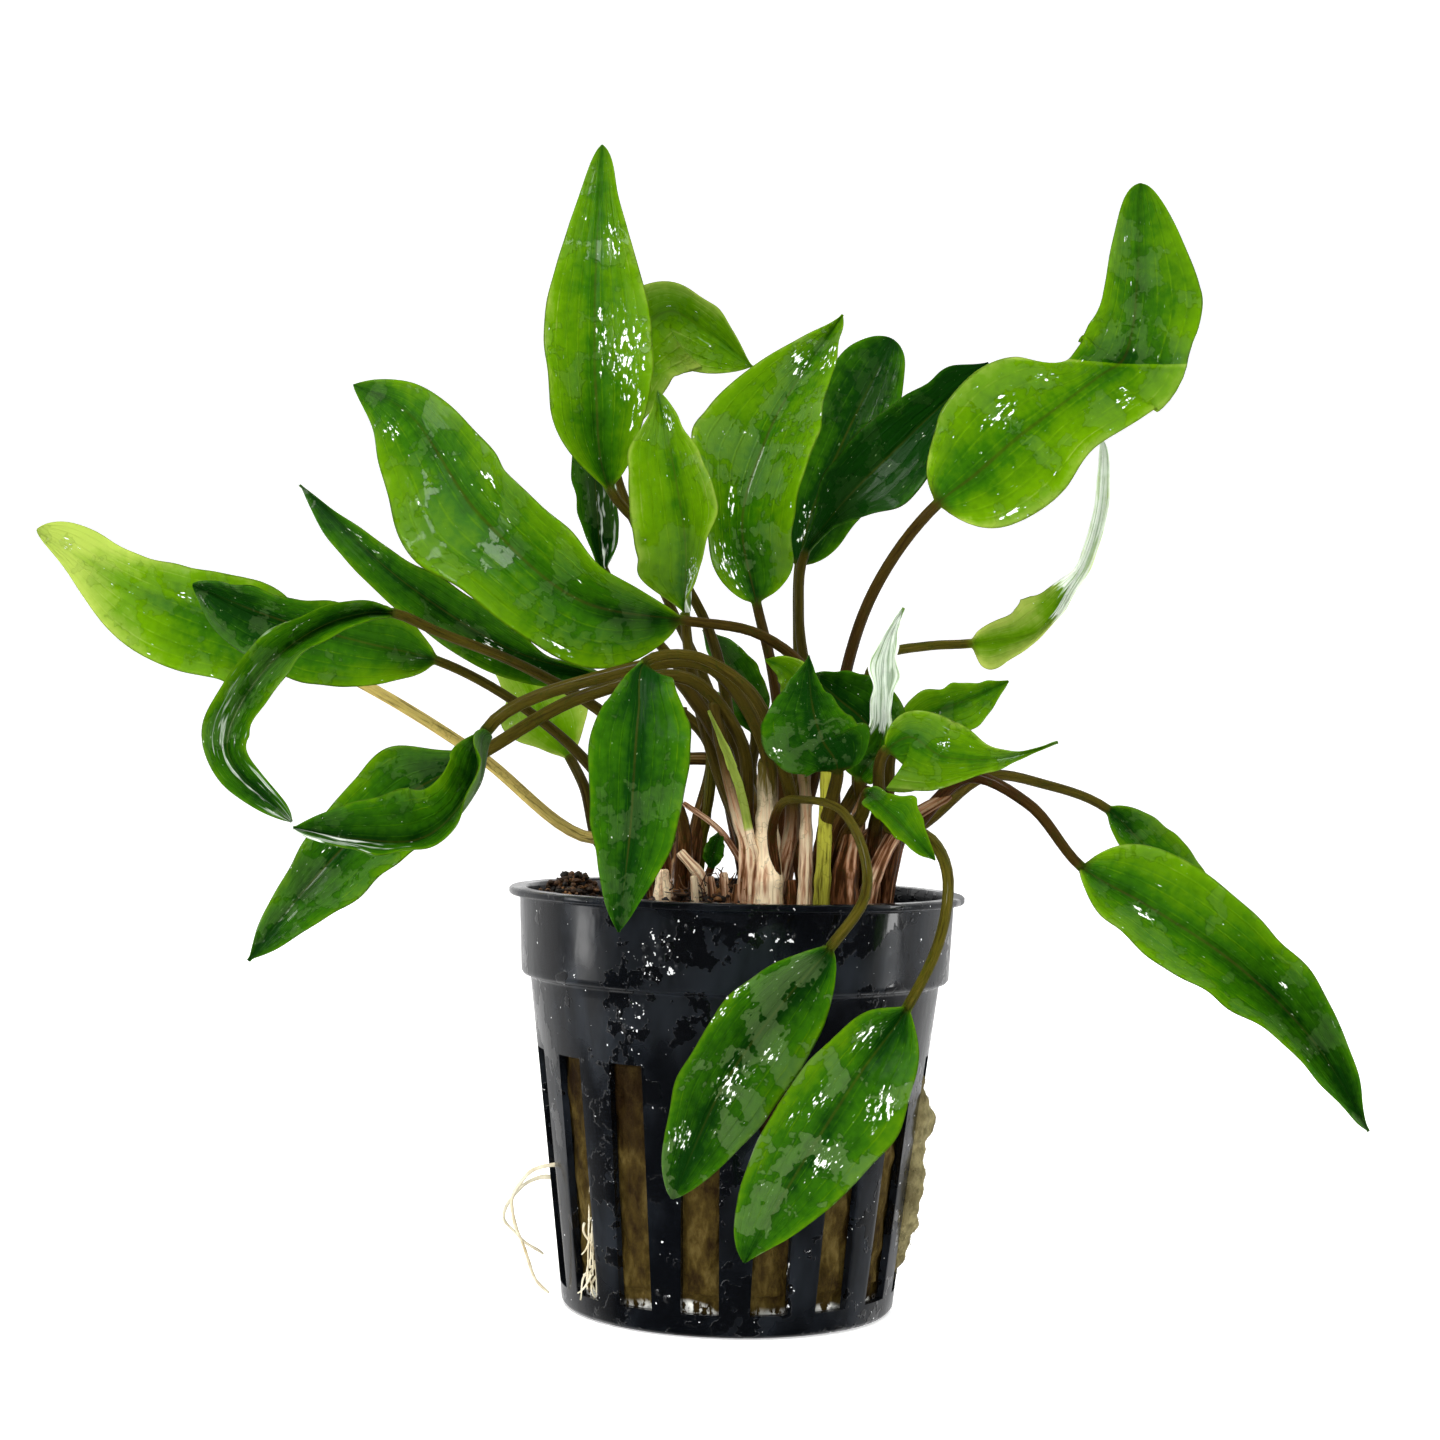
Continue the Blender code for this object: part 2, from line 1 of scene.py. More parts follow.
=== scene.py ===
"""Cryptocoryne petchii in a slotted net pot: the finished surfaces, the camera and the stage.

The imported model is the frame. Lengths in the plant's and the pot's descriptions are millimetres,
and become metres as each mesh is made. X runs right, Y away from the front, Z up.
"""

import math
from dataclasses import dataclass

import bpy
import numpy as np
from bpy.props import FloatProperty, FloatVectorProperty, IntProperty, PointerProperty
from mathutils import Matrix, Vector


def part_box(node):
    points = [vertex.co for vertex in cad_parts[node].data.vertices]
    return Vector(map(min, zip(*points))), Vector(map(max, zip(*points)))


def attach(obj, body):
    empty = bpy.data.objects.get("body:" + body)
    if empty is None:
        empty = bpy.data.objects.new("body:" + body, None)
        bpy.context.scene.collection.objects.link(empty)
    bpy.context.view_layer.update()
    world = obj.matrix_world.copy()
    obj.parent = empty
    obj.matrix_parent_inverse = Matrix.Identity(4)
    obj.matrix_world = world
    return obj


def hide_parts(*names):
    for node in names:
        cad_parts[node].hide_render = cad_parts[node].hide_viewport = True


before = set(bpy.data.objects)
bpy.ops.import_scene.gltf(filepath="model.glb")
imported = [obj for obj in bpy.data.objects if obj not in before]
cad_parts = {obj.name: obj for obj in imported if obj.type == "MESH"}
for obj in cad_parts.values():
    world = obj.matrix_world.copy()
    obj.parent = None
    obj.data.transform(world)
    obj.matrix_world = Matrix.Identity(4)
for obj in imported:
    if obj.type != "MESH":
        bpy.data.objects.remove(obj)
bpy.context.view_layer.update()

bl_info = {
    "name": "Net-potted Cryptocoryne",
    "version": (1, 0),
    "blender": (4, 5, 0),
    "location": "3D View > Sidebar > Cryptocoryne",
    "description": "Leaves, crowns, roots, wool and net pot around the packed model",
    "category": "Add Mesh",
}

MM = 0.001
POT_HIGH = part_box("pot")[1]
FRONT = np.array([0.0, -1.0, 0.0])


# The plant: crowns, leaves and roots as the frame has them, with what only shows close up

CROWN_LOW, CROWN_HIGH = (corner.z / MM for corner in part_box("crown_centre"))
CROWN_LOW_RADIUS = 2.0
CROWN_HIGH_RADIUS = 0.8
SEAT_HEIGHT = 53.0
SEAT_RING = 2.3
SEAT_RISE = 4.0
SEAT_SPREAD = 0.25
SHEATH_DEPTH = 7.5  # how far a stalk goes on below its seat, into the wool
SHEATH_FOOT = -1.0  # how far outwards it goes there
PALE_CROWN = "crown_centre"
CROWNS = {
    "crown_centre": (3.5, -7.5),
    "crown_left_front": (-6.5, -5.5),
    "crown_left_back": (-8.5, 5.0),
    "crown_right_front": (9.8, -9.5),
    "crown_right": (16.0, -5.0),
    "crown_right_back": (13.5, 6.0),
    "crown_back": (3.0, 7.0),
}


@dataclass
class Leaf:
    """One leaf: its stalk and its blade, as points from the crown to the tip.

    Each leaf below gives its crown, seat, stalk and blade first, then half_width, left and right.
    seat is the side of the crown it grows from, in degrees from the front toward +X.
    left and right say how far each half of the blade turns toward the viewer, in degrees,
    at even steps from base to tip. base and point shape the outline: a low base gives a round
    heart-like foot to the blade, and a high point gives a long drawn-out tip.
    left_edge and right_edge widen or narrow each half, at even steps from base to tip.
    skew turns the ribs of the blade from square to slanting, in degrees, at even steps.
    left_sheen and right_sheen say how much painted silver sheen each half shows, from 0 to 1 or a
    little over, at even steps.
    cup rolls the margins up toward the viewer, in degrees. ripple is the height of the waves
    along the margin, and waves is how many there are.
    blush reddens the stalk, from 0 to 1, or tans it below 0, and pale whitens its foot.
    young lightens the blade, both for its age and as painted light and shade for how lit each leaf is,
    and may be a row of values at even steps from base to tip.
    wet says how much of the blade shines. glints are ovals of painted glints: the way across from -1 to
    1, the way along from 0 to 1, and half the width and length of the oval.
    thick scales the stalk, and foot scales the part of it next to the crown.
    start holds three points that take the place of the seat, for a stalk that grows aside of it.
    crease is a fold across the blade, its height at X 0 and its rise per mm, above which the blade
    steps back, with a painted highlight just below the fold and painted shade for a few mm above it.
    """

    crown: str
    seat: float
    stalk: list
    blade: list
    half_width: float
    left: tuple = (15, 15, 15)
    right: tuple = (15, 15, 15)
    base: float = 0.6
    point: float = 0.9
    tone: str = "mid"
    left_edge: tuple = (1.0, 1.0)
    right_edge: tuple = (1.0, 1.0)
    skew: tuple = (0, 0)
    left_sheen: tuple = (0, 0)
    right_sheen: tuple = (0, 0)
    cup: float = 12.0
    ripple: float = 0.24
    waves: float = 4.0
    blush: float = 0.5
    young: float = 0.5
    pale: float = 0.05
    wet: float = 0.4
    foot: float = 1.0
    start: tuple = ()
    glints: tuple = ()
    thick: float = 1.0
    crease: tuple = ()


LEAVES = {
    "leaf_tall": Leaf(
        "crown_back", 309, [(-1, 2, 68), (-4, 0, 81), (-10.5, -1, 91.5)],
        [(-16.5, -2, 98), (-18.5, -1, 109.5), (-19, 1, 119.5), (-19, 9, 142)],
        7.1, (45, 35, 20, 0, 0), (40, 20, 0, 0, 0), point=0.7,
        left_edge=(0.51, 1.2, 1.06, 0.96, 0.86, 0.72, 0.63, 0.57, 0.65),
        right_edge=(1.67, 1.24, 1.18, 1.03, 0.94, 0.79, 0.64, 0.54, 0.75), young=0.68, wet=0.35,
        glints=((0.45, 0.7, 0.25, 0.06), (0.12, 0.42, 0.13, 0.1), (0.55, 0.36, 0.35, 0.14),
                (0.8, 0.2, 0.15, 0.06))),
    "leaf_behind_tall": Leaf(
        "crown_back", 257, [(-5, 9, 73), (-13, 10, 83)],
        [(-17.5, 10, 89), (-18.5, 10, 96), (-19, 11, 105), (-18, 13, 113)],
        3.2, (50, 30, 20), (30, 10, 10), tone="dark", left_edge=(0.6, 0.9, 1.05, 1.1, 1.1),
        right_edge=(1.3, 0.95, 0.75, 0.65, 0.6), young=0.05, right_sheen=(0.35, 0.35, 0)),
    "leaf_back_arch": Leaf(
        "crown_back", 206, [(-3.5, 17, 73), (-12, 21, 91)],
        [(-17.5, 24, 106), (-15.5, 26, 119), (-10.5, 28, 124.5), (-5, 28, 121.5), (0.5, 25, 117)],
        7.2, (50, 55, 50, 50, 40), (20, 10, 0, 0, 0), left_edge=(1, 1, 1, 1, 0.82, 0.77, 0.92, 0.94, 0.6),
        right_edge=(1, 1, 1, 1, 1.3, 1.3, 1.3, 1.6, 2), young=0.95, right_sheen=(0, 0, 0, 0.14, 0.14)),
    "leaf_broad_left": Leaf(
        "crown_centre", 103, [(9, -6.5, 66), (7, -9, 77), (2, -11, 80.5)],
        [(-7.5, -12, 82), (-18, -13, 83.5), (-31, -9, 93.5), (-41.5, -1, 107), (-49, 7, 111)],
        8.6, (0, 25, 15, 0, 0), (65, 50, 42, 25, 10), base=0.55, point=0.75,
        left_edge=(1, 1.15, 1, 0.94, 1.15, 1, 1, 0.95, 0.6),
        right_edge=(0.72, 1, 1.1, 0.98, 0.91, 0.82, 0.68, 0.6, 0.6), blush=0.9, pale=0.5, young=0.55,
        wet=0.38,
        glints=((0.6, 0.52, 0.1, 0.05), (0.35, 0.45, 0.06, 0.04), (-0.5, 0.8, 0.2, 0.05),
                (-0.85, 0.2, 0.1, 0.03))),
    "leaf_narrow_left": Leaf(
        "crown_left_front", 154, [(-4, 2, 68), (-11, 2, 73.5)],
        [(-17.5, 2, 75.5), (-27, 0, 78), (-40, -3, 85.5), (-54.5, 2, 98)],
        4.4, (30, 10, 10, 20, 10), (75, 65, 40, 20, 10), tone="dark", point=1.0,
        left_edge=(0.9, 0.9, 0.87, 0.82, 0.81, 0.84, 1.05, 1.3, 1.5),
        right_edge=(0.6, 0.6, 1.1, 1.2, 0.92, 0.74, 0.63, 0.5, 0.42), young=0.25,
        glints=((-0.3, 0.3, 0.3, 0.05), (0.3, 0.75, 0.15, 0.06))),
    "leaf_far_left": Leaf(
        "crown_left_back", 330, [(-18.5, 9, 55.5), (-33, 13, 65.5), (-47, 17, 73.5)],
        [(-55.5, 19, 77.5), (-65, 21, 80.5), (-77.5, 24, 85), (-93, 27, 93.5)],
        7.0, (10, 10, 5, 10, 10), (20, 25, 20, 15, 10), tone="bright", base=0.5, point=0.65,
        left_edge=(0.69, 1.26, 1.06, 1.07, 1.07, 0.98, 0.77, 0.54, 0.5),
        right_edge=(1.3, 1.47, 1.18, 0.98, 0.82, 0.74, 0.76, 1.02, 1.2), thick=1.2, blush=-1.0,
        young=(0.55, 0.6, 0.8, 1.5, 2.4), wet=0.4, glints=((0.2, 0.88, 0.3, 0.03), (0.3, 0.45, 0.1, 0.03))),
    "leaf_dark_left": Leaf(
        "crown_left_front", 257, [(-13, 2, 59), (-22, 4, 68)],
        [(-37.5, 4, 77), (-46.5, 6, 79), (-58.5, 9, 82), (-69.5, 13, 86)],
        6.4, (30, 15, 10, 0, 20), (45, 25, 55, 66, 60), tone="dark", point=0.5,
        left_edge=(1.4, 1.16, 1.09, 1.11, 1.06, 0.94, 0.91, 0.77, 0.3),
        right_edge=(1.4, 1.4, 0.94, 0.82, 0.85, 0.9, 0.95, 0.74, 0.43), young=(0.6, 0.5, 0.15, 0.05, 0.1)),
    "leaf_curled_left": Leaf(
        "crown_left_front", 0, [(-13, -9, 68), (-26.5, -9, 76.5), (-36, -10, 80)],
        [(-41, -12, 82), (-46.5, -16, 81), (-54.5, -21, 74.5), (-57.5, -25, 66), (-49.5, -29, 58)],
        3.8, (60, 60, 45, 35, 30), (70, 60, 50, 45, 30), tone="silver", base=0.5, point=0.6, young=0.3,
        wet=0.4, left_sheen=(0, 0.05, 0.15, 0.26, 0.3), right_sheen=(0, 0.1, 0.2, 0.3, 0.36),
        glints=((0.6, 0.3, 0.1, 0.03),)),
    "leaf_twisted_left": Leaf(
        "crown_centre", 0, [(2.5, -16, 68), (-4, -19, 76.5), (-16, -20, 75)],
        [(-29, -21, 68.5), (-30, -25, 62.5), (-35, -30, 56.5), (-42.5, -33, 56.5), (-48.5, -34, 57.5)],
        5.6, (100, 95, 75, 75, 60), (50, 45, 15, 25, 30),
        left_edge=(1, 1.2, 1.2, 0.7, 0.7, 0.65, 0.95, 1.05, 1.3),
        right_edge=(0.4, 0.9, 0.9, 0.75, 1.06, 1.29, 1.45, 1.5, 1.5), thick=1.25, foot=1.1, pale=0.8,
        young=0.28, wet=0.2, left_sheen=(0, 0, 0.1, 0.4, 0.5), right_sheen=(0.15, 0.1, 0, 0, 0)),
    "leaf_low_left": Leaf(
        "crown_centre", 309, [(0, -11, 68), (-6, -13, 75), (-18, -13, 73)],
        [(-30, -13, 66), (-41.5, -18, 58.5), (-48.5, -23, 50.5), (-54, -28, 42.5)],
        6.4, (30, 45, 35, 20), (30, 0, 10, 20), base=0.45, point=1.0,
        left_edge=(0.3, 0.96, 1.08, 1.27, 1.38, 1.45, 1.5, 1.6, 1.8),
        right_edge=(0.2, 0.53, 0.92, 0.77, 0.73, 0.75, 0.76, 0.95, 1.4), thick=1.3, young=0.3,
        glints=((-0.5, 0.3, 0.2, 0.04), (0.3, 0.55, 0.15, 0.05))),
    "leaf_front_left": Leaf(
        "crown_centre", 51, [(4.5, -18.5, 66), (0.5, -22.5, 74), (-6, -25, 77.5)],
        [(-11, -28, 76.5), (-11.5, -31, 71), (-12, -34, 58), (-13, -33, 47)],
        5.6, (0, 10, 20), (45, 15, 15, 20), base=0.5, point=0.85,
        left_edge=(1.4, 0.95, 1.1, 1.09, 1.06, 1.11, 1.1, 1, 0.9),
        right_edge=(0.1, 0.61, 0.88, 0.92, 0.91, 0.94, 0.93, 1, 1.2), pale=0.5, young=0.2, wet=0.35),
    "leaf_light_centre": Leaf(
        "crown_centre", 257, [(-2.5, -5, 64), (-6, -7, 76)],
        [(-7, -8, 83), (-7, -9, 90), (-8.5, -9, 99), (-11, -6, 109.5)],
        5.8, (0, 15, 10, 15, 40), (80, 62, 42, 38, 40), tone="bright", base=0.5, point=0.75,
        left_edge=(0.2, 1.17, 1.09, 1.09, 1.06, 1.09, 1.16, 0.75, 0.4),
        right_edge=(0.1, 0.54, 0.75, 0.97, 1, 0.85, 0.72, 0.72, 0.73), young=0.8,
        right_sheen=(0.45, 0.1, 0, 0, 0), glints=((0.4, 0.85, 0.4, 0.06), (0.5, 0.16, 0.4, 0.09))),
    "leaf_centre": Leaf(
        "crown_centre", 154, [(5, -3, 66), (3.5, -3, 77)],
        [(1.5, -4, 84.5), (-0.5, -5, 94), (2, -2, 104), (11.5, 9, 121.5)],
        8.4, (45, 45, 10, 20, 50), (0, 44, 48, 50, 50), base=0.75,
        left_edge=(1.5, 1.14, 0.92, 1.11, 0.96, 0.8, 0.68, 0.57, 0.46),
        right_edge=(2, 1.27, 1.14, 1.06, 0.97, 0.85, 0.77, 0.71, 0.8), blush=0.9, young=0.65, wet=0.8,
        glints=((-0.3, 0.76, 0.4, 0.05), (0.7, 0.8, 0.3, 0.06), (-0.3, 0.27, 0.1, 0.05),
                (-0.6, 0.12, 0.3, 0.07))),
    "leaf_behind_centre": Leaf(
        "crown_back", 103, [(7.5, 11, 72), (7, 14, 82)],
        [(7, 15, 90.5), (8.5, 18, 97.5), (12, 22, 106), (19, 28, 121.5)],
        6.8, (30, 20, 20), (10, 10, 10), tone="bright", base=0.5, point=0.6,
        left_edge=(0.8, 0.8, 0.8, 0.85, 0.9, 1, 1.11, 1.25, 1.34),
        right_edge=(1.2, 1.05, 1.02, 0.94, 0.93, 0.89, 0.89, 0.92, 1.15), blush=0.1, young=0.15, wet=0.1,
        glints=((-0.1, 0.16, 0.2, 0.09),)),
    "leaf_dark_centre": Leaf(
        "crown_back", 51, [(8.5, 8, 72), (7, 9, 84)],
        [(7.5, 9, 91.5), (10.5, 10, 96), (20, 12, 106.5), (30.5, 16, 117)],
        5.6, (30, 25, 20), (30, 30, 30), tone="dark", base=0.8, point=0.8,
        left_edge=(0.5, 0.72, 1.02, 0.96, 0.91, 0.86, 0.79, 1.03, 0.5),
        right_edge=(0.5, 0.4, 0.94, 1.23, 1.12, 0.82, 0.7, 0.51, 0.3), young=-0.2, wet=0.05,
        glints=((0.3, 0.6, 0.06, 0.03),)),
    "leaf_big_right": Leaf(
        "crown_right_back", 330, [(12.5, 2, 76), (15.5, 2, 86)],
        [(23.4, 2, 97.6), (28, 4, 101.4), (33, 6, 106), (39, 9, 110.9), (44.3, 12, 115.2),
         (47.6, 14, 117.8), (48.6, 13.5, 121.8), (48.7, 12, 126.7), (48.6, 10, 132.2), (48.3, 8, 138.9)],
        9.5, (20, 10, 10, 15, 10), (0, 5, 0, 0, 0), tone="bright", base=0.45, point=0.5,
        left_edge=(1.4, 1.28, 1.15, 0.88, 0.5, 0.72, 0.58, 0.57, 0.7),
        right_edge=(1.25, 1.21, 1.02, 0.74, 0.91, 0.86, 1.05, 0.89, 0.7),
        skew=(0, 0, 0, 5, 29, 10, 0, 0, 0), thick=1.15, crease=(116.0, 0.02), blush=1.0,
        young=(0.85, 0.75, 0.65, 0.58, 0.55), wet=0.5,
        glints=((-0.4, 0.25, 0.2, 0.05), (-0.55, 0.4, 0.12, 0.04), (0.6, 0.5, 0.25, 0.03),
                (0.85, 0.12, 0.12, 0.03))),
    "leaf_thin_right": Leaf(
        "crown_right_back", 154, [(15, 10, 70), (17.5, 12, 79), (23.5, 14, 80.6)],
        [(29.1, 15, 81.1), (32.7, 15, 81.7), (35.3, 15, 82.1), (37.4, 15, 83), (39.2, 15, 84.8),
         (41.2, 15.3, 88.2), (43.4, 16, 91.9), (44.7, 16.5, 96), (45.4, 17, 100), (45.6, 17, 103.7),
         (45.5, 17.5, 107.5)],
        4.4, (20, 20, 20, 30, 40, 40, 40, 40, 40), (10, 10, 20, 40, 45, 40, 40, 40, 40), tone="silver",
        base=0.5, point=0.5, left_edge=(1.1, 1.0, 1.25, 0.7, 0.27, 0.28, 0.3, 0.34, 0.5),
        right_edge=(2.6, 1.0, 0.25, 0.3, 0.3, 0.3, 0.34, 0.38, 0.5), ripple=0.1, blush=0.1,
        young=(1.5, 1.5, 1.4, 1, 1, 1, 1, 1, 1), wet=0.1, left_sheen=(0, 0, 0, 0.2, 1.3, 1.3, 1.3, 1.1, 0.8),
        right_sheen=(0, 0, 0, 1, 1.3, 1.3, 1.3, 1.1, 0.8)),
    "leaf_hooked": Leaf(
        "crown_right_front", 0, [(10.5, -17, 61.5)],
        [(11, -19, 65), (9, -23, 68.5), (7.5, -28, 73), (7, -32, 77.5)],
        6.8, (0, 0, 10), (0, 0, 10), tone="dark", base=0.35,
        left_edge=(1, 0.62, 0.81, 0.98, 1.06, 1.12, 0.89, 0.9, 0.5),
        right_edge=(0.6, 0.84, 0.68, 0.61, 0.54, 0.5, 0.42, 0.3, 0.3), young=0.1, wet=0.6,
        left_sheen=(0.16, 0.16, 0.05, 0, 0), right_sheen=(0, 0.1, 0, 0, 0), glints=((-0.85, 0.35, 0.1, 0.06),)),
    "leaf_silver": Leaf(
        "crown_right", 309, [(14.5, -9.5, 60.5)],
        [(14, -11.5, 64), (16, -13, 67.5), (16.5, -13.5, 73), (16.5, -14, 79), (18.5, -13, 84)],
        5.0, (0, 10, 65, 60, 50), (60, 75, 75, 70, 60), tone="silver", base=0.5,
        left_edge=(1.2, 1.2, 0.6, 0.4, 0.8, 1.1, 0.75, 0.7, 0.6),
        right_edge=(1, 1, 0.5, 0.45, 0.59, 0.94, 1.07, 0.57, 0.5), young=0.6,
        left_sheen=(0, 0, 0.9, 1, 1, 0.6), right_sheen=(0, 0, 0.8, 1, 1, 0.6)),
    "leaf_dark_cluster": Leaf(
        "crown_right_front", 154, [(13.5, -6, 62)],
        [(16, -7.5, 67), (15, -9, 70), (11, -10, 73.5), (8, -11, 76)],
        5.0, (20, 20, 20), (10, 10, 20, 30), tone="dark", base=0.5, point=0.7, young=0.15),
    "leaf_light_tip": Leaf(
        "crown_right_front", 257, [(7.5, -11, 64)],
        [(8, -13, 70), (7, -14.5, 73.5), (5, -15.5, 76.5), (2.5, -15.5, 77.5)],
        2.4, (10, 10, 10), (10, 10, 10), tone="bright", young=0.75),
    "leaf_right_upper": Leaf(
        "crown_right", 154, [(18, 0, 62)],
        [(18.5, -2, 68), (22, -4, 71.5), (26.5, -4, 73.5), (32, -3, 76)],
        3.9, (45, 45, 30), (20, 20, 20), base=0.5, point=0.7,
        left_edge=(1, 0.9, 0.9, 1.03, 0.9, 0.83, 0.65, 0.51, 0.5),
        right_edge=(1, 1, 1, 0.8, 0.9, 1.1, 0.95, 0.77, 0.5), young=0.6),
    "leaf_right_low": Leaf(
        "crown_right", 0, [(16, -16, 61)],
        [(16.5, -20, 67.5), (18.8, -21, 69), (22.6, -22, 66.9), (25.8, -23, 66.6), (30.4, -24, 67.1),
         (35.4, -24, 68.8)],
        4.2, (0, 10, 10, 20), (0, 0, 20, 30), base=0.4, point=1.6,
        left_edge=(0.3, 0.64, 0.95, 1.16, 1.24, 0.86, 0.5, 0.6, 1),
        right_edge=(1.5, 1.5, 1.6, 1.02, 0.83, 0.73, 0.78, 0.6, 1), young=0.75,
        left_sheen=(0.26, 0.2, 0.12, 0), right_sheen=(0.1, 0.12, 0.16, 0.2), glints=((-0.3, 0.35, 0.2, 0.05),)),
    "leaf_small_pointed": Leaf(
        "crown_right_front", 51, [(14, -17, 60)],
        [(14.5, -21, 62.5), (15.5, -24, 61.5), (18.5, -27.5, 58.5), (21.5, -29, 55.5)],
        3.4, (10, 10, 10), (10, 10, 10), point=0.7,
        left_edge=(0.8, 0.6, 0.5, 0.65, 1, 0.82, 0.66, 0.56, 0.4),
        right_edge=(1, 0.7, 0.5, 0.4, 0.4, 0.45, 0.45, 0.5, 0.4), young=0.5),
    "leaf_drooping_right": Leaf(
        "crown_right", 103, [(20, -7, 57.5), (27, -11, 64.5), (33.5, -14, 61.5)],
        [(39.5, -16, 54.5), (46.5, -19, 50.5), (56.5, -23, 44), (64.5, -26, 36), (70.5, -27, 26.5)],
        7.4, (0, 0, 35, 45, 40), (60, 52, 58, 58, 55), base=0.5,
        left_edge=(1.16, 1.05, 0.95, 0.85, 0.9, 0.99, 0.94, 0.84, 0.5),
        right_edge=(0.68, 1.04, 1.01, 1.17, 1.22, 1.18, 1.14, 1.29, 1.6), blush=1.0,
        young=(0.75, 0.6, 0.35, 0.25, 0.2), glints=((0.2, 0.2, 0.15, 0.04), (-0.3, 0.6, 0.1, 0.04))),
    "leaf_behind_drooping": Leaf(
        "crown_right_back", 51, [(21, 6, 57.5), (31.5, 10, 64.5), (38.5, 13, 63.5)],
        [(47, 16, 60.5), (51.5, 17, 56.5), (57.5, 18, 51), (62, 19, 45.5)],
        3.8, (20, 20, 20), (40, 40, 40), tone="dark", young=0.45),
    "leaf_hanging_left": Leaf(
        "crown_right_front", 309,
        [(4.6, -17, 60.8), (7.5, -22, 61.6), (11.4, -28, 60.4), (13.6, -34, 51.5)],
        [(10, -34, 46), (5.5, -34, 40.5), (-0.5, -34, 32), (-6.5, -32, 18)],
        6.4, (15, 18, 10, 10, 15), (65, 45, 40, 32, 20), base=0.55, point=0.75,
        left_edge=(0.72, 0.88, 0.94, 0.95, 0.95, 1, 0.97, 0.95, 0.87),
        right_edge=(1.2, 1.2, 1.16, 1.11, 1.04, 1.04, 0.97, 1.03, 1.18), ripple=0.12, foot=0.6,
        start=((4.9, -12, 47), (4.4, -13, 53), (3.8, -14.6, 58)), blush=0.25, pale=0, young=0.2, wet=1.1,
        glints=((0.92, 0.33, 0.1, 0.09), (-0.1, 0.55, 0.3, 0.1), (0.5, 0.8, 0.35, 0.06),
                (-0.4, 0.4, 0.15, 0.06))),
    "leaf_hanging_right": Leaf(
        "crown_right", 51, [(17.5, -16, 58.5), (21.5, -23, 57.5), (23, -29, 53.5), (22, -32, 47)],
        [(18.5, -33, 39.5), (13.5, -37, 33), (7, -38, 22.5), (1.5, -36, 12)],
        6.6, (45, 25, 0, 15, 10), (50, 25, 20, 15, 0), base=0.55, point=0.75,
        left_edge=(0.57, 0.91, 0.98, 1.07, 0.99, 0.94, 0.88, 0.76, 0.4),
        right_edge=(0.7, 0.92, 0.88, 0.91, 0.94, 0.97, 1.02, 1.1, 1.4), ripple=0.12, blush=0.2, young=0.36,
        wet=1.1,
        glints=((0.45, 0.17, 0.2, 0.075), (0.4, 0.42, 0.2, 0.06), (-0.3, 0.58, 0.3, 0.07),
                (-0.6, 0.33, 0.25, 0.08), (0.6, 0.5, 0.12, 0.04))),
    "leaf_low_back_left": Leaf(
        "crown_left_back", 250, [(-17, 11, 54.5), (-19.5, 12, 62)],
        [(-21.5, 14, 65.5), (-24.5, 17, 70), (-28.5, 22, 76), (-34, 27, 80.5)],
        4.6, (15, 15, 15), (15, 15, 15), tone="bright",
        left_edge=(0.6, 0.93, 1.2, 1.2, 0.8, 0.8, 0.8, 0.8, 0.8),
        right_edge=(1.3, 1.5, 1.4, 0.8, 0.6, 0.6, 0.6, 0.6, 0.6), young=1.15),
    "leaf_rolled_young": Leaf(
        "crown_back", 0, [(2, 3, 60)],
        [(1, 6, 63), (0, 7, 67), (-1.5, 8, 71), (-3, 9, 74)],
        1.2, (70, 70, 70), (70, 70, 70), tone="bright", ripple=0.0, young=1),
    "leaf_short_back": Leaf(
        "crown_back", 154, [(1.5, 12, 64)],
        [(2, 13, 69), (1, 13, 73), (-1.5, 14, 78), (-5, 15, 82)],
        3.0, (20, 20, 20), (20, 20, 20), tone="dark", young=0.2),
}

SCRAPS = {  # leaf bits with no crown of their own
    "leaf_scrap": Leaf(
        "crown_left_front", 0, [(-4, -8, 51), (-3.6, -8.4, 52)],
        [(-3.2, -8.6, 53), (-3, -8.8, 54.5), (-2.6, -9, 56), (-2, -9.2, 57.5)],
        1.3, (20, 20, 20), (20, 20, 20), tone="dark", ripple=0.1, foot=0.5,
        start=((-4.6, -7.6, 48), (-4.4, -7.8, 49), (-4.2, -8, 50)), young=0.1),
    "leaf_rolled_stalk": Leaf(
        "crown_centre", 0, [(1.4, -13.3, 56.6)],
        [(1.1, -13.5, 57.8), (0.1, -13.7, 62), (-1.6, -13.8, 66.5), (-3.9, -13.8, 71.5)],
        0.8, (45, 45, 45), (45, 45, 45), tone="bright", ripple=0.05, foot=0.6,
        start=((2.4, -12.2, 53), (2.1, -12.6, 54.3), (1.8, -13, 55.4)), blush=0, pale=0.8, young=1.9,
        wet=0.1),
}

ROOTS = {
    "root_long": [(-20.7, -4.9, 17), (-22.5, -5, 16.8), (-24.8, -5, 15), (-26, -5, 12.5), (-25.2, -4.8, 9),
                  (-23.8, -4.5, 5.5), (-23, -4.5, 3), (-21.3, -4.5, 1.6)],
    "root_short": [(-21, 3.4, 14), (-23, 3.4, 14), (-26.3, 3.2, 12), (-27.5, 3, 9.5), (-25.5, 3, 6.8),
                   (-22.6, 3, 4.8)],
}


# Sizes and colours that a user may change


def length_property(name, description, metres, **limits):
    """A length, kept in metres and shown in the scene's unit."""
    return FloatProperty(name=name, description=description, default=metres, unit="LENGTH", precision=5,
                         **limits)


def share_property(name, description, share):
    """A number from 0 to 1."""
    return FloatProperty(name=name, description=description, default=share, subtype="FACTOR", min=0.0,
                         max=1.0)


def power_property(name, description, watts):
    """A lamp's power."""
    return FloatProperty(name=name, description=description, default=watts, subtype="POWER", min=0.0)


def colour_property(name, description, *colour):
    """A colour, given as red, green and blue."""
    return FloatVectorProperty(name=name, description=description, default=colour, subtype="COLOR")


